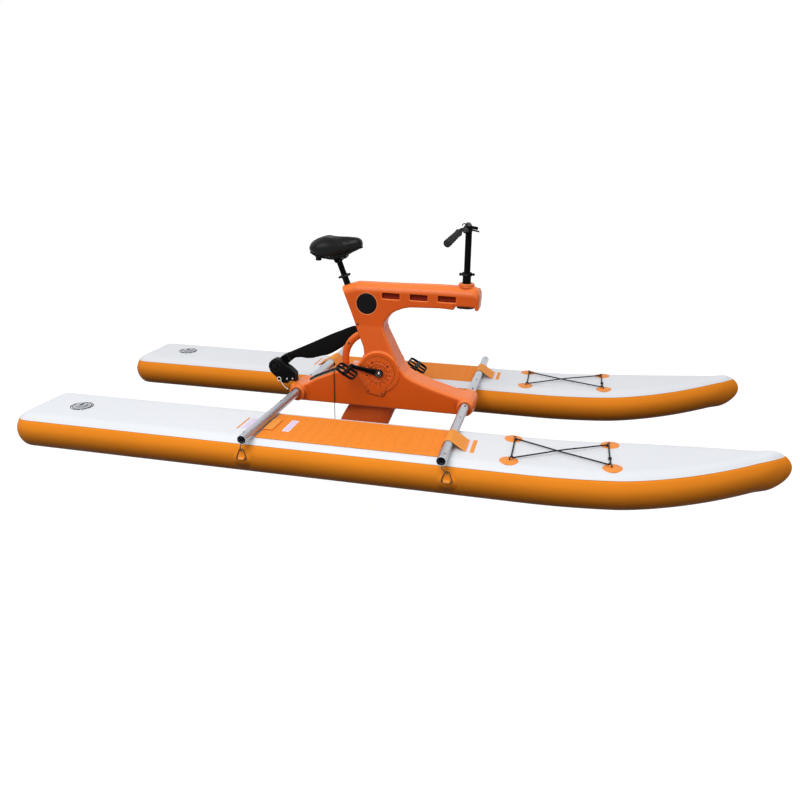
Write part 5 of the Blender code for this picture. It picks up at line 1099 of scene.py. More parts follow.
def valve_seat(builder, place):
    """A disc with a broken ring of welds, a thin ring, and the collar with its ridges."""
    lathe(builder, SEAT_PROFILE, place, 72, 0)
    for index in range(DASHES):
        start = 2.0 * math.pi * (index + 0.08) / DASHES
        turns = [start + step * 0.44 / 8 for step in range(9)]
        arc = [place @ Vector((WELD_RADIUS * math.cos(turn), WELD_RADIUS * math.sin(turn), 0.0024))
               for turn in turns]
        wire(builder, arc, 0.0032, 8, look=1, flat=0.5)
    wire(builder, turned_rows([(0.0024, COLLAR_RADIUS)], place, 72)[0], 0.0016, 8, closed=True, look=1)
    lathe(builder, COLLAR_PROFILE, place, 72, 2)
    for turn in round_turns(RIDGES):
        ridge = [place @ Vector((radius * math.cos(turn), radius * math.sin(turn), 0.0046))
                 for radius in (0.0355, 0.0380, 0.0400)]
        wire(builder, ridge, 0.0009, 6, look=2)


# %% Screw cap
CAP_GRIP = 0.0007       # depth of the notches in the cap's rim
CAP_PROFILE = ((0.0, 0.0300), (0.0012, 0.0308), (0.0060, 0.0308), (0.0074, 0.0298), (0.0076, 0.0265),
               (0.0050, 0.0250), (0.0044, 0.0230), (0.0044, 0.002))


def valve_cap(builder, place):
    """A cap with a notched rim, and a raised bar across it."""
    rows = []
    for height, radius in CAP_PROFILE:
        notched = 0.001 < height < 0.007 and radius > 0.03
        row = []
        for step, turn in enumerate(round_turns(96)):
            reach = radius - (CAP_GRIP if notched and step % 4 < 2 else 0.0)
            row.append(place @ Vector((reach * math.cos(turn), reach * math.sin(turn), height)))
        rows.append(row)
    net(builder, rows, closed=True, caps=True, look=0)
    bar = [(-0.0238, 0.0036), (-0.0232, 0.0048), (-0.0060, 0.0068), (0.0060, 0.0068), (0.0232, 0.0048),
           (0.0238, 0.0036)]
    lines = []
    for y, height in bar:
        half = 0.0052 + 0.0020 * (abs(y) / 0.024) ** 2
        outline = ((-half, 0.0030), (-half, height), (-half * 0.8, height + 0.0008),
                   (half * 0.8, height + 0.0008), (half, height), (half, 0.0030))
        lines.append([place @ Vector((x, y, z)) for x, z in outline])
    net(builder, lines, closed=True, caps=True, look=1)


# %% Both valves
VALVE_X, VALVE_Y, CAP_RISE = -1.656, 0.612, 0.0073

for hand, side in SIDES:
    valve_at = Matrix.Translation((VALVE_X, hand * VALVE_Y, THICK))
    seat, cap = bmesh.new(), bmesh.new()
    valve_seat(seat, valve_at)
    new_piece(f"{side}_valve_seat", seat, (DECK_WHITE, BLACK_MOULDED, SILVER_PLASTIC), sharp=35)
    valve_cap(cap, valve_at @ Matrix.Translation((0.0, 0.0, CAP_RISE)))
    piece = new_piece(f"{side}_screw_cap", cap, (SILVER_PLASTIC, DARK_WIRE), f"{side}_valve_cap_unit",
                      (f"{side}_valve_cap",), sharp=35)
print("valves at x", VALVE_X)

# %% [markdown]
# ## The moulded frame
# The frame is blow-moulded: every edge of the mould has a radius, and the plastic shrinks a little into soft
# hollows. A Bevel modifier fails on a body with so many cuts. So the solid is copied, wrapped in an even net
# by a voxel Remesh, and a Smooth modifier then rounds all edges alike. A Decimate last takes out faces where
# the skin is flat.

# %% Soften a hard solid
def applied(piece):
    """The piece's modifiers become part of its mesh."""
    ready = piece.evaluated_get(bpy.context.evaluated_depsgraph_get())
    mesh = bpy.data.meshes.new_from_object(ready)
    piece.modifiers.clear()
    piece.data = mesh
    return piece


def smoothing(piece, name, passes):
    smooth = piece.modifiers.new(name, "SMOOTH")
    smooth.iterations, smooth.factor = passes, 0.5


def rounded(piece, voxel, passes, keep=1.0):
    """One even skin round everything in the piece, with all its edges rounded alike."""
    wrap = piece.modifiers.new("even_net", "REMESH")
    wrap.mode, wrap.voxel_size, wrap.use_smooth_shade = "VOXEL", voxel, True
    smoothing(piece, "round_edges", passes)
    if keep < 1.0:
        piece.modifiers.new("fewer_faces", "DECIMATE").ratio = keep
    applied(piece)
    piece.data.shade_smooth()
    return piece


def softened(name, look, body, voxel, passes, keep=1.0):
    """A rounded copy that takes the place of the solid."""
    piece = bpy.data.objects.new(f"{name}_moulding", nodes[name].data.copy())
    bpy.context.scene.collection.objects.link(piece)
    piece.data.materials.clear()
    piece.data.materials.append(look)
    rounded(piece, voxel, passes, keep)
    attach(piece, body)
    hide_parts(name)
    print(piece.name, len(piece.data.polygons), "faces")
    return piece


moulding = softened("main_body", ORANGE_MOULDED, "hull", 0.0032, 7)
softened("drive_leg", ORANGE_MOULDED, "hull", 0.0032, 6, 0.5)
for _, side in SIDES:
    softened(f"{side}_gear_cover", ORANGE_MOULDED, "hull", 0.0014, 2, 0.6)

# %% A fuller round on the beam's upper edges
BEAM_HALF, BEAM_ROUND = 0.065, 0.054
BEAM_TOP = ((-0.240, 0.879), (-0.148, 0.906), (0.100, 0.907), (0.330, 0.911), (0.526, 0.908), (0.552, 0.899))
STEER_X, POST_LIP = 0.483, 0.0500       # the round lip where the steering sleeve enters keeps its edge


def height_at(line, x):
    """Height of a line of (x, z) points at x."""
    for (start, low), (end, high) in zip(line, line[1:]):
        if x <= end:
            return low + (high - low) * (x - start) / (end - start)
    return line[-1][1]


moved_points = 0
for vertex in moulding.data.vertices:
    x, y, z = vertex.co
    if not BEAM_TOP[0][0] < x < BEAM_TOP[-1][0] or math.hypot(x - STEER_X, y) < POST_LIP:
        continue
    beside = abs(y) - (BEAM_HALF - BEAM_ROUND)
    over = z - (height_at(BEAM_TOP, x) - BEAM_ROUND)
    far = math.hypot(beside, over)
    if beside > 0.0 and over > 0.0 and far > BEAM_ROUND:
        pull = BEAM_ROUND / far
        vertex.co.y = math.copysign(BEAM_HALF - BEAM_ROUND + beside * pull, y)
        vertex.co.z = z - over * (1.0 - pull)
        moved_points += 1
smoothing(moulding, "settle", 2)
moulding.modifiers.new("fewer_faces", "DECIMATE").ratio = 0.4
applied(moulding)
moulding.data.shade_smooth()
print("rounded the beam at", moved_points, "points;", len(moulding.data.polygons), "faces left")

# %% Painted shade on the floors of the beam's recesses
RECESS_STARTS, RECESS_LONG = (0.008, 0.171, 0.333), 0.103

moulding.data.materials.append(ORANGE_GROOVE_SHADE)
in_recess = 0
for face in moulding.data.polygons:
    x, y, z = face.center
    along = any(start - 0.002 < x < start + RECESS_LONG for start in RECESS_STARTS)
    if along and 0.820 < z < 0.858 and BEAM_HALF - 0.024 < abs(y) < BEAM_HALF - 0.0040:
        face.material_index = 1
        in_recess += 1
print("faces in the recesses:", in_recess)

# %% [markdown]
# ## Saddle
# The saddle is foam under a stretched vinyl cover. It is wide and two-lobed at the rear with a soft channel
# along its middle, and narrow at the nose. It is lofted from cross-sections, wrapped in an even net, and then
# blown up a little as cloth, which gives the tight, slightly uneven skin that stretched vinyl has. Each point
# may move only a few millimetres, so the form stays.

# %% Saddle sections
SADDLE_SECTIONS = (
    # station x, half width, crown height, lower edge
    (-0.430, 0.054, 1.104, 1.066), (-0.424, 0.078, 1.120, 1.060), (-0.406, 0.097, 1.134, 1.052),
    (-0.376, 0.108, 1.148, 1.043), (-0.338, 0.107, 1.158, 1.035), (-0.300, 0.093, 1.159, 1.032),
    (-0.262, 0.070, 1.158, 1.040), (-0.226, 0.051, 1.159, 1.050), (-0.186, 0.042, 1.161, 1.072),
    (-0.155, 0.038, 1.159, 1.083), (-0.135, 0.031, 1.150, 1.092), (-0.125, 0.017, 1.135, 1.102),
)
SADDLE_SEAM = ((-0.500, 1.076), (-0.424, 1.071), (-0.376, 1.062), (-0.300, 1.047), (-0.262, 1.050),
               (-0.226, 1.059), (-0.186, 1.081), (-0.155, 1.092), (-0.080, 1.104))
REAR_FROM, REAR_TUCK = -0.40, 0.009     # behind this x, the lower edge is tucked forward


def seam_height(x):
    """Height of the saddle's lower edge, where the cover turns under."""
    return height_at(SADDLE_SEAM, x)


def saddle_sections(steps):
    """The sections with smooth ones between them."""
    fine = []
    count = len(SADDLE_SECTIONS)
    for index in range(count - 1):
        four = [Vector(SADDLE_SECTIONS[min(max(index + shift, 0), count - 1)]) for shift in (-1, 0, 1, 2)]
        fine += [through(four, step / steps) for step in range(steps)]
    return fine + [Vector(SADDLE_SECTIONS[-1])]


def squared(value, power):
    """A sine or cosine raised to a power below one, with its sign kept: it makes a round section squarer."""
    return math.copysign(abs(value) ** power, value)


# %% Saddle cross-section
def saddle_row(section, shrink):
    """One closed row: two lobes and a channel above, tucked in along the lower edge."""
    x, half, crown, low = section
    half, crown = half - shrink, crown - shrink
    middle = low + 0.40 * (crown - low)
    lobes = min(1.0, max(0.0, (-0.27 - x) / 0.07))
    row = []
    for turn in round_turns(64):
        across, up = math.cos(turn), math.sin(turn)
        power = 0.80 if up > 0.0 else 0.62
        y = half * squared(across, power)
        z = middle + (crown - middle if up > 0.0 else middle - low) * squared(up, power)
        if up > 0.0:
            channel = (0.0035 + 0.0065 * lobes) * math.exp(-(y / (0.010 + 0.010 * lobes)) ** 2)
            z += lobes * 0.004 * math.exp(-((abs(y) - 0.048) / 0.022) ** 2) - channel * min(1.0, half / 0.03)
        seam = seam_height(x) + 0.0006
        tuck = max(0.0, 1.0 - (max(z, seam) - seam) / 0.016) ** 2
        ahead = REAR_TUCK * tuck if x < REAR_FROM else 0.0
        row.append(Vector((x + ahead, y * (1.0 - 0.11 * tuck), max(z, seam))))
    return row


print("saddle sections:", len(saddle_sections(6)))


# %% Blow it up as cloth
def puffed(piece, voxel, pressure, limit, still_below):
    """Swell the piece as cloth; no point moves further than limit, and the underside stays."""
    wrap = piece.modifiers.new("even_net", "REMESH")
    wrap.mode, wrap.voxel_size = "VOXEL", voxel
    applied(piece)
    cloth = piece.modifiers.new("cover", "CLOTH")
    cloth.settings.use_pressure = True
    cloth.settings.uniform_pressure_force = pressure
    cloth.settings.effector_weights.gravity = 0.0
    cloth.settings.mass = 0.3
    for number in range(1, 21):
        bpy.context.scene.frame_set(number)
    swollen = piece.evaluated_get(bpy.context.evaluated_depsgraph_get()).data
    places = [vertex.co.copy() for vertex in swollen.vertices]
    piece.modifiers.clear()
    bpy.context.scene.frame_set(1)
    furthest = 0.0
    for vertex, place in zip(piece.data.vertices, places):
        move = place - vertex.co
        free = min(1.0, max(0.0, (vertex.co.z - still_below(vertex.co.x)) / 0.010))
        move *= free * min(1.0, limit / max(move.length, 1e-9))
        furthest = max(furthest, move.length)
        vertex.co += move
    print(piece.name, "swelled by at most", round(furthest * 1000.0, 1), "mm")
    return piece


# %% Saddle cover
cushion = bmesh.new()
net(cushion, [saddle_row(section, 0.0035) for section in saddle_sections(6)], closed=True, caps=True)
saddle = new_piece("saddle_cover", cushion, (SADDLE_VINYL,), "seat_unit", ("saddle_cushion",))
puffed(saddle, 0.0036, 4.0, 0.0050, seam_height)
saddle.data.materials.clear()
saddle.data.materials.append(SADDLE_VINYL)
smoothing(saddle, "settle", 3)
saddle.modifiers.new("fine", "SUBSURF").levels = 1
saddle.modifiers["fine"].render_levels = 1
applied(saddle)
saddle.data.shade_smooth()
print("saddle faces:", len(saddle.data.polygons))

# %% Piping round the saddle's lower edge
piping = bmesh.new()
edge = []
for x, half, _, _ in saddle_sections(3)[1:-1]:
    edge.append(Vector((x + (REAR_TUCK if x < REAR_FROM else 0.0), half * 0.865, seam_height(x) + 0.0014)))
loop = edge + [Vector((point.x, -point.y, point.z)) for point in edge[::-1]]
wire(piping, smooth_line(loop, 2, closed=True), 0.0022, 8, closed=True)
new_piece("saddle_piping", piping, (SADDLE_VINYL,), "seat_unit")
print("piping points:", len(loop))

# %% The pan under the saddle
PAN_BOTTOM = ((-0.424, 1.060), (-0.400, 1.046), (-0.376, 1.037), (-0.340, 1.0300), (-0.300, 1.0290),
              (-0.262, 1.0290), (-0.238, 1.0340), (-0.215, 1.0500), (-0.186, 1.0680), (-0.155, 1.0830),
              (-0.138, 1.0930))
BUFFER_PROFILE = ((0.0, 0.0180), (0.008, 0.0190), (0.015, 0.0150), (0.020, 0.0185), (0.027, 0.0160),
                  (0.028, 0.0130))
BUFFER_X, BUFFER_Y, BUFFER_Z = -0.375, 0.052, 1.050     # two rubber buffers under the saddle's rear

pan = bmesh.new()
half_turn = [math.pi + math.pi * step / 16 for step in range(17)]
rows = []
for x, half, _, _ in saddle_sections(2)[1:-2]:
    low = height_at(PAN_BOTTOM, x)
    top = seam_height(x) - 0.0005
    width = half * 0.80 if x < -0.33 else min(half * 0.84, 0.052)
    rows.append([Vector((x, width * math.cos(turn), top - (top - low) * abs(min(0.0, math.sin(turn))) ** 0.5))
                 for turn in half_turn])
net(pan, rows, closed=True, caps=True)
for hand, _ in SIDES:
    buffer_at = Matrix.Translation((BUFFER_X, hand * BUFFER_Y, BUFFER_Z)) @ Matrix.Rotation(math.pi, 4, "X")
    lathe(pan, BUFFER_PROFILE, buffer_at, 28)
piece = new_piece("saddle_pan", pan, (BLACK_MOULDED,), "seat_unit", ("saddle_base",))
rounded(piece, 0.0018, 2, 0.6)
print(piece.name, len(piece.data.polygons), "faces")

# %% [markdown]
# ## Gear covers, screws and painted gap shade
# A dark bead round each gear cover is painted shade for the gap at its edge, and dark pan-head screws hold
# the covers down. They are small, but without them the covers look printed on. The disc above has a rim
# painted paler as a highlight, and two more screws sit on the frame's side.

# %% The gasket's way round a cover
COVER_X, COVER_Z, COVER_RADIUS, COVER_FACE = -0.008, 0.383, 0.098, 0.094


def on_cover(radius, turn):
    return COVER_X + radius * math.cos(turn), COVER_Z + radius * math.sin(turn)


def cover_loop(hand, grow, y):
    """Most of a circle, and a rounded foot that points down to the leg."""
    arc = [math.radians(-58.0 + 290.0 * step / 60) for step in range(61)]
    loop = [on_cover(COVER_RADIUS + grow, turn) for turn in arc]
    loop += [(-0.082 - grow, 0.285), (-0.081 - grow, 0.264 - grow), (-0.076, 0.257 - grow),
             (-0.062, 0.253 - grow), (0.008, 0.240 - grow), (0.022, 0.243 - grow), (0.029 + grow, 0.250),
             (0.032 + grow, 0.262)]
    return [Vector((x, hand * y, z)) for x, z in loop]


print("points round a cover:", len(cover_loop(1, 0.0, COVER_FACE)))


# %% A screw
def screw(builder, place, axis, radius=0.0052, height=0.0026, look=0):
    """A domed screw head with a hexagonal socket."""
    at = Matrix.Translation(place) @ Vector(axis).to_track_quat("Z", "Y").to_matrix().to_4x4()
    rows = []
    for rise, share, sides in ((-0.0010, 1.0, 0), (0.45, 1.0, 0), (0.85, 0.86, 0), (1.0, 0.66, 0),
                               (1.0, 0.50, 6), (0.35, 0.46, 6)):
        row = []
        for turn in round_turns(24):
            reach = radius * share
            if sides:
                wedge = math.pi / sides
                reach *= math.cos(wedge) / math.cos((turn % (2.0 * wedge)) - wedge)
            row.append(at @ Vector((reach * math.cos(turn), reach * math.sin(turn), height * rise)))
        rows.append(row)
    net(builder, rows, closed=True, caps=True, look=look)


# %% Painted gap shade, ribs and cover screws
SCREW_RADIUS, SCREW_TURNS = 0.072, (118.0, 40.0, 196.0)
COVER_SCREWS = [on_cover(SCREW_RADIUS, math.radians(turn)) for turn in SCREW_TURNS]
COVER_SCREWS += [(-0.068, 0.268), (0.017, 0.256)]

for hand, side in SIDES:
    trim = bmesh.new()
    # painted shade: a dark bead stands for the shadow in the gap round the cover
    wire(trim, cover_loop(hand, 0.0002, COVER_FACE - 0.0010), 0.0012, 8, closed=True)
    # two thin rings take the painted groove shade on the cover
    for radius, out in ((0.0555, 0.0030), (0.0700, 0.0)):
        ring = side_ring(COVER_X, hand * (COVER_FACE + out), COVER_Z, radius, 72)
        wire(trim, ring, 0.0009, 6, closed=True, look=1)
    for turn in round_turns(8):
        places = [on_cover(radius, turn) for radius in (0.0360, 0.0540, 0.0750, 0.0960)]
        wire(trim, [(x, hand * (COVER_FACE + 0.0002), z) for x, z in places], 0.0017, 8, look=3)
    for x, z in COVER_SCREWS:
        screw(trim, (x, hand * (COVER_FACE + 0.0018), z), (0.0, hand, 0.0), look=2)
    piece = new_piece(f"{side}_cover_trim", trim, (BROWN_GAP_SHADE, ORANGE_GROOVE_SHADE, DARK_WIRE, ORANGE_MOULDED),
                      sharp=40)
print("cover screws:", 2 * len(COVER_SCREWS))

# %% Painted rim highlight, side screws and the arm's bright edge
# painted highlight: a paler orange where the rim round the disc catches the light
ORANGE_RIM_HIGHLIGHT = moulded("orange_rim_highlight", paint("FFA266"), 0.36, shine=0.22)
DISC_X, DISC_Z, DISC_RADIUS = -0.085, 0.788, 0.0640

for hand, side in SIDES:
    rim = bmesh.new()
    wire(rim, side_ring(DISC_X, hand * 0.0653, DISC_Z, DISC_RADIUS, 96), 0.0013, 8, closed=True)
    screw(rim, (-0.1400, hand * 0.0662, 0.6640), (0.0, hand, 0.0), 0.0058, 0.0026, look=1)
    screw(rim, (-0.2100, hand * 0.0225, 0.5330), (0.0, hand, 0.0), 0.0052, 0.0026, look=1)
    new_piece(f"{side}_disc_rim", rim, (ORANGE_RIM_HIGHLIGHT, DARK_WIRE), sharp=40)
edge_band = bmesh.new()
ring = [Vector((STEER_X + POST_LIP * math.cos(turn), POST_LIP * math.sin(turn), 0.7868))
        for turn in round_turns(72)]
wire(edge_band, ring, 0.0016, 8, closed=True)
new_piece("arm_edge_band", edge_band, (BRIGHT_STEEL,), "steering_column")
print("disc rims", round(2000.0 * DISC_RADIUS), "mm across")

# %% [markdown]
# ## Tubes and posts
# The cross tubes and the two posts are plain turned parts, so they are made by turning a profile round an
# axis with enough sides to look round from close by. The tubes are open, and their cut edges are broken with
# a small chamfer.

# %% Axes and open pipes
def on_axis(place, axis):
    """A place whose z axis points along axis."""
    return Matrix.Translation(Vector(place)) @ Vector(axis).to_track_quat("Z", "Y").to_matrix().to_4x4()


def pipe(builder, place, length, outer, inner, chamfer=0.0006, sides=64):
    """An open pipe: out along the outside and back along the inside."""
    outside = [(0.0, outer - chamfer), (chamfer, outer), (length - chamfer, outer), (length, outer - chamfer)]
    inside = [(length, inner + chamfer), (length - chamfer, inner), (chamfer, inner), (0.0, inner + chamfer)]
    net(builder, turned_rows(outside + inside + outside[:1], place, sides), closed=True)


# %% Cross tubes
TUBE_OUTER, TUBE_INNER = 0.0250, 0.0225
TUBE_ROLL = math.radians(20.0)      # buttons and screws sit this far off the tube's top

for way, end in ENDS:
    tube = bmesh.new()
    x = way * TUBE_X
    pipe(tube, on_axis((x, -TUBE_HALF, TUBE_Z), (0.0, 1.0, 0.0)), 2.0 * TUBE_HALF, TUBE_OUTER, TUBE_INNER)
    lean = Vector((way * math.sin(TUBE_ROLL), 0.0, math.cos(TUBE_ROLL)))
    for hand in (-1, 1):
        button = Vector((x, hand * (TUBE_HALF - 0.050), TUBE_Z)) + lean * TUBE_OUTER
        lathe(tube, [(-0.0004, 0.0066), (0.0003, 0.0064), (0.0004, 0.0050), (-0.0004, 0.0048)],
              on_axis(button, lean), 32, 1)
        screw(tube, Vector((x, hand * 0.163, TUBE_Z)) + lean * 0.0248, lean, 0.0060, 0.0034, 1)
        screw(tube, Vector((x, hand * 0.345, TUBE_Z)) + lean * 0.0248, lean, 0.0045, 0.0022, 1)
    piece = new_piece(f"{end}_alloy_tube", tube, (TUBE_ALLOY, DARK_WIRE), "hull", (f"{end}_cross_tube",),
                      sharp=35)
print("tubes", 2.0 * TUBE_HALF, "m long")

# %% Seat post and bar post
SEAT_TILT = math.radians(20.5)
SEAT_FOOT = Vector((-0.225, 0.0, 0.902))
SEAT_AXIS = Vector((-math.sin(SEAT_TILT), 0.0, math.cos(SEAT_TILT)))
SEAT_POST = ((0.0, 0.0162), (0.001, 0.0172), (0.304, 0.0172), (0.308, 0.0172), (0.320, 0.0128), (0.322, 0.0100))
CLAMP_BARREL = ((0.0, 0.0115), (0.001, 0.0125), (0.039, 0.0125), (0.040, 0.0115))
POST_SUNK, CLAMP_UP = 0.185, 0.131      # how far the post starts below the collar, and the clamp sits above it

seat_tube = bmesh.new()
head = SEAT_FOOT + SEAT_AXIS * CLAMP_UP
lathe(seat_tube, SEAT_POST, on_axis(SEAT_FOOT - SEAT_AXIS * POST_SUNK, SEAT_AXIS), 56)
lathe(seat_tube, CLAMP_BARREL, on_axis(head - Vector((0.0, 0.020, 0.0)), (0.0, 1.0, 0.0)), 40)
piece = new_piece("seat_tube", seat_tube, (BLACK_TUBE,), "seat_unit", ("seat_post",), sharp=40)

bar_tube = bmesh.new()
lathe(bar_tube, [(0.0, 0.0172), (0.001, 0.0182), (0.347, 0.0182), (0.348, 0.0175)],
      on_axis((STEER_X, 0.0, 0.855), (0.0, 0.0, 1.0)), 56)
piece = new_piece("bar_tube", bar_tube, (BLACK_TUBE,), "handlebar_unit", ("bar_post",), sharp=40)
print("seat post leans back by", round(math.degrees(SEAT_TILT), 1), "degrees")

# %% [markdown]
# ## Rudder
# The bracket is a thick plate on the frame's rear end. A head flips on its pin and holds the blade, which is
# thin, with a straight upper edge and a wavy lower one. Each is drawn as an outline measured in the photo,
# given its thickness, and wrapped in an even net so that all its parts become one skin with round edges.

# %% Bracket and its bolts
PIVOT = Vector((-0.681, 0.058, 0.350))
REST = math.radians(27.0)
ALONG = Vector((math.cos(REST), 0.0, math.sin(REST)))
ABOVE = Vector((-math.sin(REST), 0.0, math.cos(REST)))


def plate(builder, outline, low, high, look=0):
    """A flat plate: an outline of (x, z) points between two values of y."""
    rows = [[Vector((x, y, z)) for x, z in outline] for y in (low, high)]
    net(builder, rows, closed=True, caps=True, look=look)


def on_blade(along, above):
    """(x, z) of a place given along the blade and above its middle line."""
    spot = PIVOT + ALONG * along + ABOVE * above
    return spot.x, spot.z


BRACKET_OUTLINE = (
    (-0.554, 0.2640), (-0.556, 0.316), (-0.590, 0.347), (-0.622, 0.366), (-0.648, 0.385), (-0.668, 0.396),
    (-0.690, 0.399), (-0.712, 0.389), (-0.728, 0.370), (-0.733, 0.345), (-0.724, 0.317), (-0.708, 0.300),
    (-0.684, 0.280), (-0.6665, 0.258), (-0.652, 0.2465), (-0.612, 0.2440), (-0.604, 0.2640),
)
bracket = bmesh.new()
plate(bracket, BRACKET_OUTLINE, -0.030, 0.018)
face = on_axis((-0.690, -0.028, 0.352), (0.0, -1.0, 0.0))
lathe(bracket, [(0.0, 0.037), (0.0050, 0.036)], face, 40)
lathe(bracket, [(0.0, 0.0125), (0.0100, 0.0115)], face, 24)
piece = new_piece("rear_bracket", bracket, (BLACK_MOULDED,), "hull", ("rudder_bracket",))
rounded(piece, 0.0020, 2, 0.7)

bolts = bmesh.new()
for x, z in ((-0.6134, 0.2751), (-0.5760, 0.2798)):
    screw(bolts, (x, -0.0302, z), (0.0, -1.0, 0.0), 0.0062, 0.0032)
new_piece("bracket_bolts", bolts, (BRIGHT_STEEL,), sharp=40)
print("bracket faces:", len(piece.data.polygons))

# %% Flip head
HEAD_OUTLINE = ((0.0, 0.031), (0.040, 0.0410), (0.0750, 0.0405), (0.0750, -0.0130), (0.055, -0.0165),
                (0.020, -0.028), (0.0, -0.0305))     # along the blade, above its middle line

flip_head = bmesh.new()
lathe(flip_head, [(0.0, 0.0310), (0.0740, 0.0310)], on_axis((PIVOT.x, 0.0190, PIVOT.z), (0.0, 1.0, 0.0)), 40)
lathe(flip_head, [(0.0, 0.0120), (0.0060, 0.0110)], on_axis((PIVOT.x, 0.0920, PIVOT.z), (0.0, 1.0, 0.0)), 6)
plate(flip_head, [on_blade(*spot) for spot in HEAD_OUTLINE], 0.0310, 0.0850)
piece = new_piece("flip_head", flip_head, (BLACK_MOULDED,), "rudder_head_unit", ("rudder_head",))
rounded(piece, 0.0020, 3, 0.7)
print(piece.name, len(piece.data.polygons), "faces")

# %% Blade
BLADE_EDGES = (
    # distance from the pivot, upper edge, lower edge, half thickness
    (0.0775, 0.0400, -0.0070, 0.0110), (0.100, 0.0405, -0.0060, 0.0105), (0.140, 0.0400, -0.0200, 0.0085),
    (0.172, 0.0392, -0.0410, 0.0068), (0.208, 0.0385, -0.0550, 0.0062), (0.240, 0.0378, -0.0600, 0.0062),
    (0.277, 0.0372, -0.0665, 0.0062), (0.310, 0.0368, -0.0750, 0.0062), (0.345, 0.0365, -0.0755, 0.0062),
    (0.380, 0.0362, -0.0720, 0.0062), (0.423, 0.0345, -0.0670, 0.0060), (0.466, 0.0315, -0.0585, 0.0058),
    (0.510, 0.0295, -0.0540, 0.0056), (0.545, 0.0265, -0.0480, 0.0052), (0.570, 0.0180, -0.0340, 0.0048),
    (0.580, 0.0040, -0.0180, 0.0040),
)
rows = []
for along, high, low, half in BLADE_EDGES:
    center, reach = (high + low) / 2.0, (high - low) / 2.0
    row = []
    for turn in round_turns(24):
        x, z = on_blade(along, center + reach * math.cos(turn))
        row.append(Vector((x, PIVOT.y + half * squared(math.sin(turn), 0.7), z)))
    rows.append(row)
blade = bmesh.new()
net(blade, rows, closed=True, caps=True)
lathe(blade, [(0.0, 0.0085), (0.040, 0.0085)], on_axis(PIVOT + ALONG * 0.0760, ALONG), 24)
piece = new_piece("steering_blade", blade, (BLACK_MOULDED,), "rudder_blade_unit", ("rudder_blade",))
rounded(piece, 0.0022, 3, 0.5)
print("blade reaches", BLADE_EDGES[-1][0], "m from its pin")

# %% [markdown]
# ## Cranks and pedals
# A crank is forged: a thick hub, a slim waist and a boss that takes the pedal. The pedal is a cage, open
# between its barrel and its two C-shaped bars, so the frame behind shows through it. Bars and barrel are
# placed one by one and then wrapped in one skin.

# %% The crank arm's form
CRANK_TURN, CRANK_REACH = math.radians(10.0), 0.170
CRANK_BACK, CRANK_FACE = 0.0975, 0.1155     # y of the hub's two faces
CRANK_Z = 0.386
HUB = Vector((0.0, 0.0, CRANK_Z))
CRANK_SECTIONS = (
    # distance from the axle, half width, inner y, outer y
    (0.0, 0.0200, 0.0985, 0.1150), (0.030, 0.0180, 0.0990, 0.1140), (0.060, 0.0150, 0.1000, 0.1130),
    (0.100, 0.0125, 0.1005, 0.1130), (0.140, 0.0120, 0.1000, 0.1140), (0.170, 0.0125, 0.0985, 0.1150),
)


def crank_way(hand):
    """The right crank points back, the left one forward."""
    return Vector((math.cos(CRANK_TURN) * hand, 0.0, -math.sin(CRANK_TURN) * hand))


def crank_rows(hand):
    """Rounded-square rows of points from hub to boss."""
    reach = crank_way(hand)
    across = Vector((reach.z, 0.0, -reach.x))
    rows = []
    for along, half, inner, outer in CRANK_SECTIONS:
        row = []
        for turn in round_turns(16):
            wide = half * squared(math.cos(turn), 0.6)
            y = (inner + outer) / 2.0 + (outer - inner) / 2.0 * squared(math.sin(turn), 0.6)
            row.append(HUB + reach * along + across * wide + Vector((0.0, hand * y, 0.0)))
        rows.append(row)
    return rows


print("crank length", CRANK_REACH)

# %% Cranks
for hand, side in SIDES:
    arm = bmesh.new()
    net(arm, crank_rows(hand), closed=True, caps=True)
    out = (0.0, hand, 0.0)
    boss = HUB + crank_way(hand) * CRANK_REACH
    pipe(arm, on_axis((0.0, hand * CRANK_BACK, HUB.z), out), CRANK_FACE - CRANK_BACK + 0.001, 0.0235, 0.0105,
         0.0010, 40)
    lathe(arm, [(0.0, 0.0150), (0.0180, 0.0150)], on_axis((boss.x, hand * CRANK_BACK, boss.z), out), 32)
    lathe(arm, [(0.0, 0.0088), (0.0060, 0.0088)], on_axis((boss.x, hand * 0.1150, boss.z), out), 24)
    lathe(arm, [(0.0, 0.0060), (0.0900, 0.0060)], on_axis((boss.x, hand * 0.1200, boss.z), out), 24)
    piece = new_piece(f"{side}_forged_crank", arm, (BLACK_GLOSS,), "crankset", (f"{side}_crank",))
    rounded(piece, 0.0013, 3, 0.6)
    print(piece.name, len(piece.data.polygons), "faces")
    cap = bmesh.new()
    lathe(cap, [(-0.0100, 0.0100), (-0.0042, 0.0100), (-0.0030, 0.0088), (-0.0006, 0.0064), (0.0002, 0.0030)],
          on_axis((0.0, hand * (CRANK_FACE + 0.0005), HUB.z), out), 32)
    wire(cap, side_ring(0.0, hand * (CRANK_FACE + 0.0012), HUB.z, 0.0158, 48), 0.0010, 8, closed=True, look=1)
    new_piece(f"{side}_crank_bolt", cap, (BRIGHT_STEEL, GEAR_STEEL), "crankset", sharp=40)

# %% The pedal's bars
PEDAL_TILT = math.radians(31.0)
PEDAL_MIDDLE, PEDAL_LONG, PEDAL_WIDE = 0.203, 0.059, 0.058
CAGE_PATH = ((0.0100, -PEDAL_WIDE), (0.038, -PEDAL_WIDE), (0.050, -0.052), (PEDAL_LONG, -0.036),
             (PEDAL_LONG, 0.0), (PEDAL_LONG, 0.036), (0.050, 0.052), (0.038, PEDAL_WIDE), (0.0100, PEDAL_WIDE))


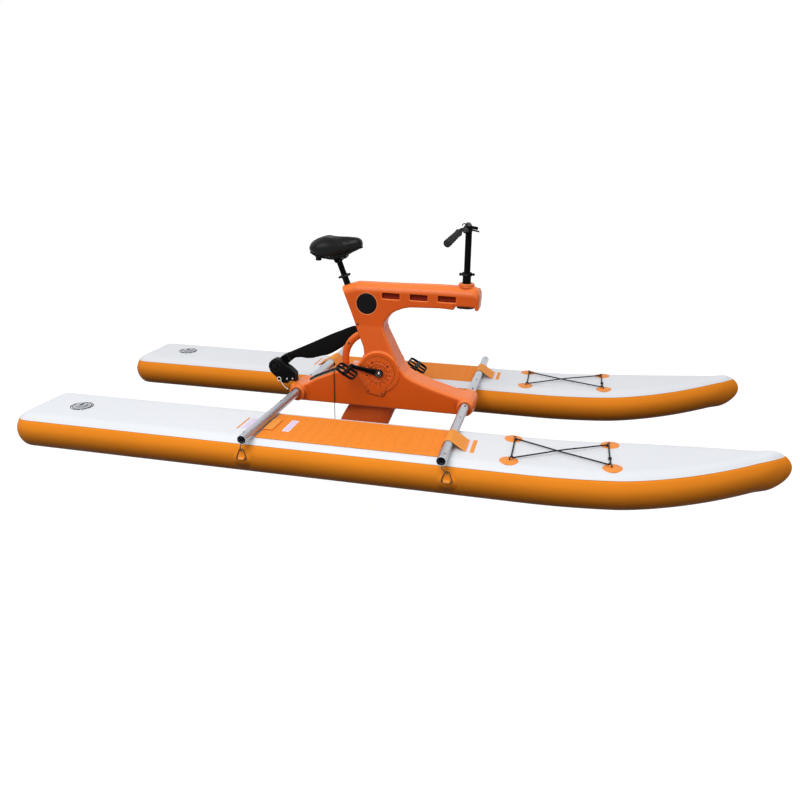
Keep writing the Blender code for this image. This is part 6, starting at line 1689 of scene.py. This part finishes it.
def bar_along(builder, path, thick, tall, at):
    """A flat bar on edge along (x, y) points."""
    spots = [Vector(spot) for spot in path]
    rows = []
    for index, spot in enumerate(spots):
        after, before = spots[min(index + 1, len(spots) - 1)], spots[max(index - 1, 0)]
        along = (after - before).normalized()
        wide = Vector((-along.y, along.x)) * thick / 2.0
        corners = ((spot - wide, -tall / 2), (spot + wide, -tall / 2), (spot + wide, tall / 2),
                   (spot - wide, tall / 2))
        rows.append([at @ Vector((edge.x, edge.y, z)) for edge, z in corners])
    net(builder, rows, closed=True, caps=True)


# %% Caged pedals
for hand, side in SIDES:
    spot = crank_way(hand) * CRANK_REACH
    at = (Matrix.Translation((spot.x, hand * PEDAL_MIDDLE, CRANK_Z + spot.z))
          @ Matrix.Rotation(PEDAL_TILT, 4, "Y"))
    cage = bmesh.new()
    for end in (-1, 1):
        bar_along(cage, [(end * x, y) for x, y in CAGE_PATH], 0.0065, 0.0150, at)
        bar_along(cage, [(end * 0.008, 0.0), (end * PEDAL_LONG, 0.0)], 0.0075, 0.0110, at)
        for y in (-0.032, -0.016, 0.016, 0.032):
            for top in (-1, 1):
                lathe(cage, [(0.0, 0.0022), (0.0034, 0.0016)],
                      at @ on_axis((end * PEDAL_LONG, y, top * 0.0070), (0.0, 0.0, top)), 8)
    barrel = at @ on_axis((0.0, -PEDAL_WIDE - 0.001, 0.0), (0.0, 1.0, 0.0))
    pipe(cage, barrel, 2.0 * PEDAL_WIDE + 0.002, 0.0125, 0.0080, 0.0008, 32)
    piece = new_piece(f"{side}_cage_pedal", cage, (BLACK_MOULDED,), f"{side}_pedal_unit", (f"{side}_pedal",))
    rounded(piece, 0.0012, 1, 0.6)
    print(piece.name, len(piece.data.polygons), "faces")

# %% [markdown]
# ## Handlebar and grips
# The bar is one bent tube, drawn along a smooth line. The grips are moulded rubber with broad ribs and a
# flange at the inner end, turned round the bar's last straight. Stem, steering sleeve and seat collar are the
# solids with rounded edges.

# %% Bent bar
STEM_Z, BAR_RADIUS = 1.222, 0.0111
BAR_X = STEER_X - 0.004
BAR_PATH = ((BAR_X, 0.0, STEM_Z), (BAR_X, 0.040, STEM_Z), (BAR_X - 0.004, 0.090, STEM_Z + 0.006),
            (BAR_X - 0.015, 0.144, STEM_Z + 0.011), (BAR_X - 0.024, 0.180, STEM_Z + 0.001),
            (BAR_X - 0.059, 0.325, STEM_Z - 0.039))
right_half = [Vector((x, -y, z)) for x, y, z in BAR_PATH[::-1]]
left_half = [Vector(point) for point in BAR_PATH[1:]]
bar = bmesh.new()
wire(bar, smooth_line(right_half + left_half, 8), BAR_RADIUS, 32)
piece = new_piece("bent_bar", bar, (BLACK_GLOSS,), "handlebar_unit", ("handlebar",), sharp=40)
print("bar width", round(2.0 * BAR_PATH[-1][1], 3))


# %% Grips
def grip_profile(length):
    """A flange, five broad ribs with fine ones over them, and a rounded end."""
    profile = [(0.0, 0.0120), (0.0, 0.0172), (0.0015, 0.0196), (0.0035, 0.0206), (0.0055, 0.0198),
               (0.0085, 0.0166)]
    for step in range(61):
        share = step / 60
        along = 0.012 + (length - 0.022) * share
        rib = max(0.0, math.cos(2.0 * math.pi * (share * 5.0 - 0.5))) ** 2
        fine = 0.00035 * math.cos(2.0 * math.pi * share * 30.0)
        profile.append((along, 0.0160 + 0.0035 * share + 0.0021 * rib + fine))
    return profile + [(length - 0.006, 0.0205), (length - 0.003, 0.0210), (length - 0.001, 0.0200),
                      (length, 0.0178), (length + 0.0004, 0.0060)]


for hand, side in SIDES:
    start, finish = (Vector((x, hand * y, z)) for x, y, z in BAR_PATH[-2:])
    grip = bmesh.new()
    lathe(grip, grip_profile((finish - start).length + 0.006), on_axis(start, finish - start), 56)
    piece = new_piece(f"{side}_rubber_grip", grip, (GRIP_RUBBER,), "handlebar_unit", (f"{side}_grip",),
                      sharp=60)
    print(piece.name, len(piece.data.polygons), "faces")

# %% Stem, steering sleeve and seat collar
SLEEVE_EXTRA = 0.0036                       # the real sleeve is a little stouter than the solid
SLEEVE_INSIDE, SLEEVE_REACH = 0.019, 0.080  # only what lies between these radii is widened
BEAM_SKIN_Z = 0.900                         # and only what stands above the beam

softened("stem", BLACK_GLOSS, "handlebar_unit", 0.0011, 2)
sleeve = softened("steerer", BLACK_GLOSS, "steering_column", 0.0014, 2, 0.6)
widened = 0
for vertex in sleeve.data.vertices:
    away = Vector((vertex.co.x - STEER_X, vertex.co.y, 0.0))
    if SLEEVE_INSIDE < away.length < SLEEVE_REACH and vertex.co.z > BEAM_SKIN_Z:
        vertex.co += away.normalized() * SLEEVE_EXTRA
        widened += 1
print("widened the sleeve at", widened, "points")
softened("seat_collar", BLACK_GLOSS, "hull", 0.0010, 2)

# %% [markdown]
# ## Cords and cables
# Four lines show. Two sheathed cables lie side by side on the lower beam, held by thin bands. A short white
# line with a plastic ring runs from the rudder's bracket toward the rear tube. A thin black cord hangs from
# the beam and passes out of sight behind the near float, so its last part and the knot that ends it at the
# water are a guess.

# %% Two cables on the lower beam
cable = bmesh.new()
guide = ((-0.452, 0.2920), (-0.430, 0.3085), (-0.398, 0.3245), (-0.340, 0.3510), (-0.277, 0.3775),
         (-0.235, 0.3895))
wire(cable, smooth_line([(x, -0.052, z) for x, z in guide], 8), 0.0058, 16)
wire(cable, smooth_line([(x + 0.006, -0.0385, z + 0.0035) for x, z in guide], 8), 0.0058, 16)
for x, z in (guide[1], guide[3]):
    band = [(x + 0.0075 * math.cos(turn), -0.052 + 0.0072 * math.sin(turn), z + 0.0035 * math.cos(turn))
            for turn in round_turns(20)]
    wire(cable, band, 0.0012, 6, closed=True)
piece = new_piece("cable_sheath", cable, (CABLE_SHEATH,), "hull", ("steering_cable",), sharp=50)
print(piece.name, len(piece.data.polygons), "faces")

# %% White lanyard
lanyard = bmesh.new()
guide = ((-0.655, -0.034, 0.262), (-0.638, -0.046, 0.244), (-0.615, -0.070, 0.236), (-0.592, -0.098, 0.238),
         (-0.575, -0.121, 0.244))
wire(lanyard, smooth_line(guide, 8), 0.0022, 12)
wire(lanyard, side_ring(-0.664, -0.0345, 0.272, 0.012, 32), 0.0024, 10, closed=True, look=1)
knot(lanyard, guide[0], (1.0, 0.0, 0.0), 0.0030)
knot(lanyard, guide[-1], (0.0, 1.0, 0.0), 0.0030)
piece = new_piece("white_lanyard", lanyard, (WHITE_CORD, WHITE_PLASTIC), "hull", ("rudder_lanyard",))
print(piece.name, len(piece.data.polygons), "faces")

# %% The hanging cord
EDGE_Y, EDGE_Z, EDGE_TURN = -0.0660, 0.3465, 0.0255     # the beam's rounded edge, which the cord bends over
guide = [(-0.2895, -0.0608, EDGE_Z + EDGE_TURN)]
for step in range(5):
    angle = math.radians(90.0 + 22.5 * step)
    guide.append((-0.2870 + 0.0008 * step, EDGE_Y + EDGE_TURN * math.cos(angle),
                  EDGE_Z + EDGE_TURN * math.sin(angle)))
guide += [(-0.2835, EDGE_Y - EDGE_TURN, z) for z in (0.30, 0.25, 0.20, 0.15, 0.10, 0.05, 0.01)]
hang = smooth_line(guide, 3)
strand, bead = bmesh.new(), bmesh.new()
wire(strand, hang, 0.0022, 12)
cord_piece = new_piece("hanging_cord", strand, (BLACK_CORD,), "hull", ("trailing_cord",))
knot(bead, hang[-1] + Vector((0.0, 0.0, 0.004)), (0.0, 0.0, 1.0), 0.0030)
end_knot = new_piece("cord_end_knot", bead, (BLACK_CORD,))

# %% [markdown]
# ## Dressing the solids that keep their shape
# Some solids are right as they are: discs, bearings, buttons, levers, gears, shafts and the propeller. Each
# takes its finish. Where an edge shows from near by, a narrow Bevel modifier breaks it, because no real edge
# is a perfect line and an edge needs a face to catch the light.

# %% Finishes and broken edges
dressed = []


def dress(name, look, edge=0.0):
    """Give a solid its finish; edge is the width of its broken edges."""
    node = nodes[name]
    node.data.materials.clear()
    node.data.materials.append(look)
    if edge:
        bevel = node.modifiers.new("broken_edge", "BEVEL")
        bevel.width = edge
        bevel.segments = 2
        bevel.limit_method = "ANGLE"
        bevel.angle_limit = math.radians(50.0)
        bevel.harden_normals = True
    dressed.append(name)


for _, side in SIDES:
    dress(f"{side}_side_disc", BLACK_PLATE, 0.0006)
    dress(f"{side}_axle_bearing", BRIGHT_STEEL)
    for _, end in ENDS:
        dress(f"{side}_{end}_button", BRIGHT_STEEL)
for name in ("crank_axle", "drive_gear", "drive_shaft", "propeller_shaft"):
    dress(name, GEAR_STEEL)
dress("saddle_rails", BLACK_GLOSS, 0.0005)
for name in ("seat_lever", "bar_lever", "steering_arm"):
    dress(name, BLACK_MOULDED, 0.0008)
for name in ("propeller", "pod_seal"):
    dress(name, BLACK_MOULDED)
print("dressed", len(dressed), "solids of", len(nodes))

# %% [markdown]
# ## Last sizes
# The box of everything that shows is printed, to set beside the box of the solids.

# %% Print the sizes
low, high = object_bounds()
print("shown size:", [round(b - a, 3) for a, b in zip(low, high)])
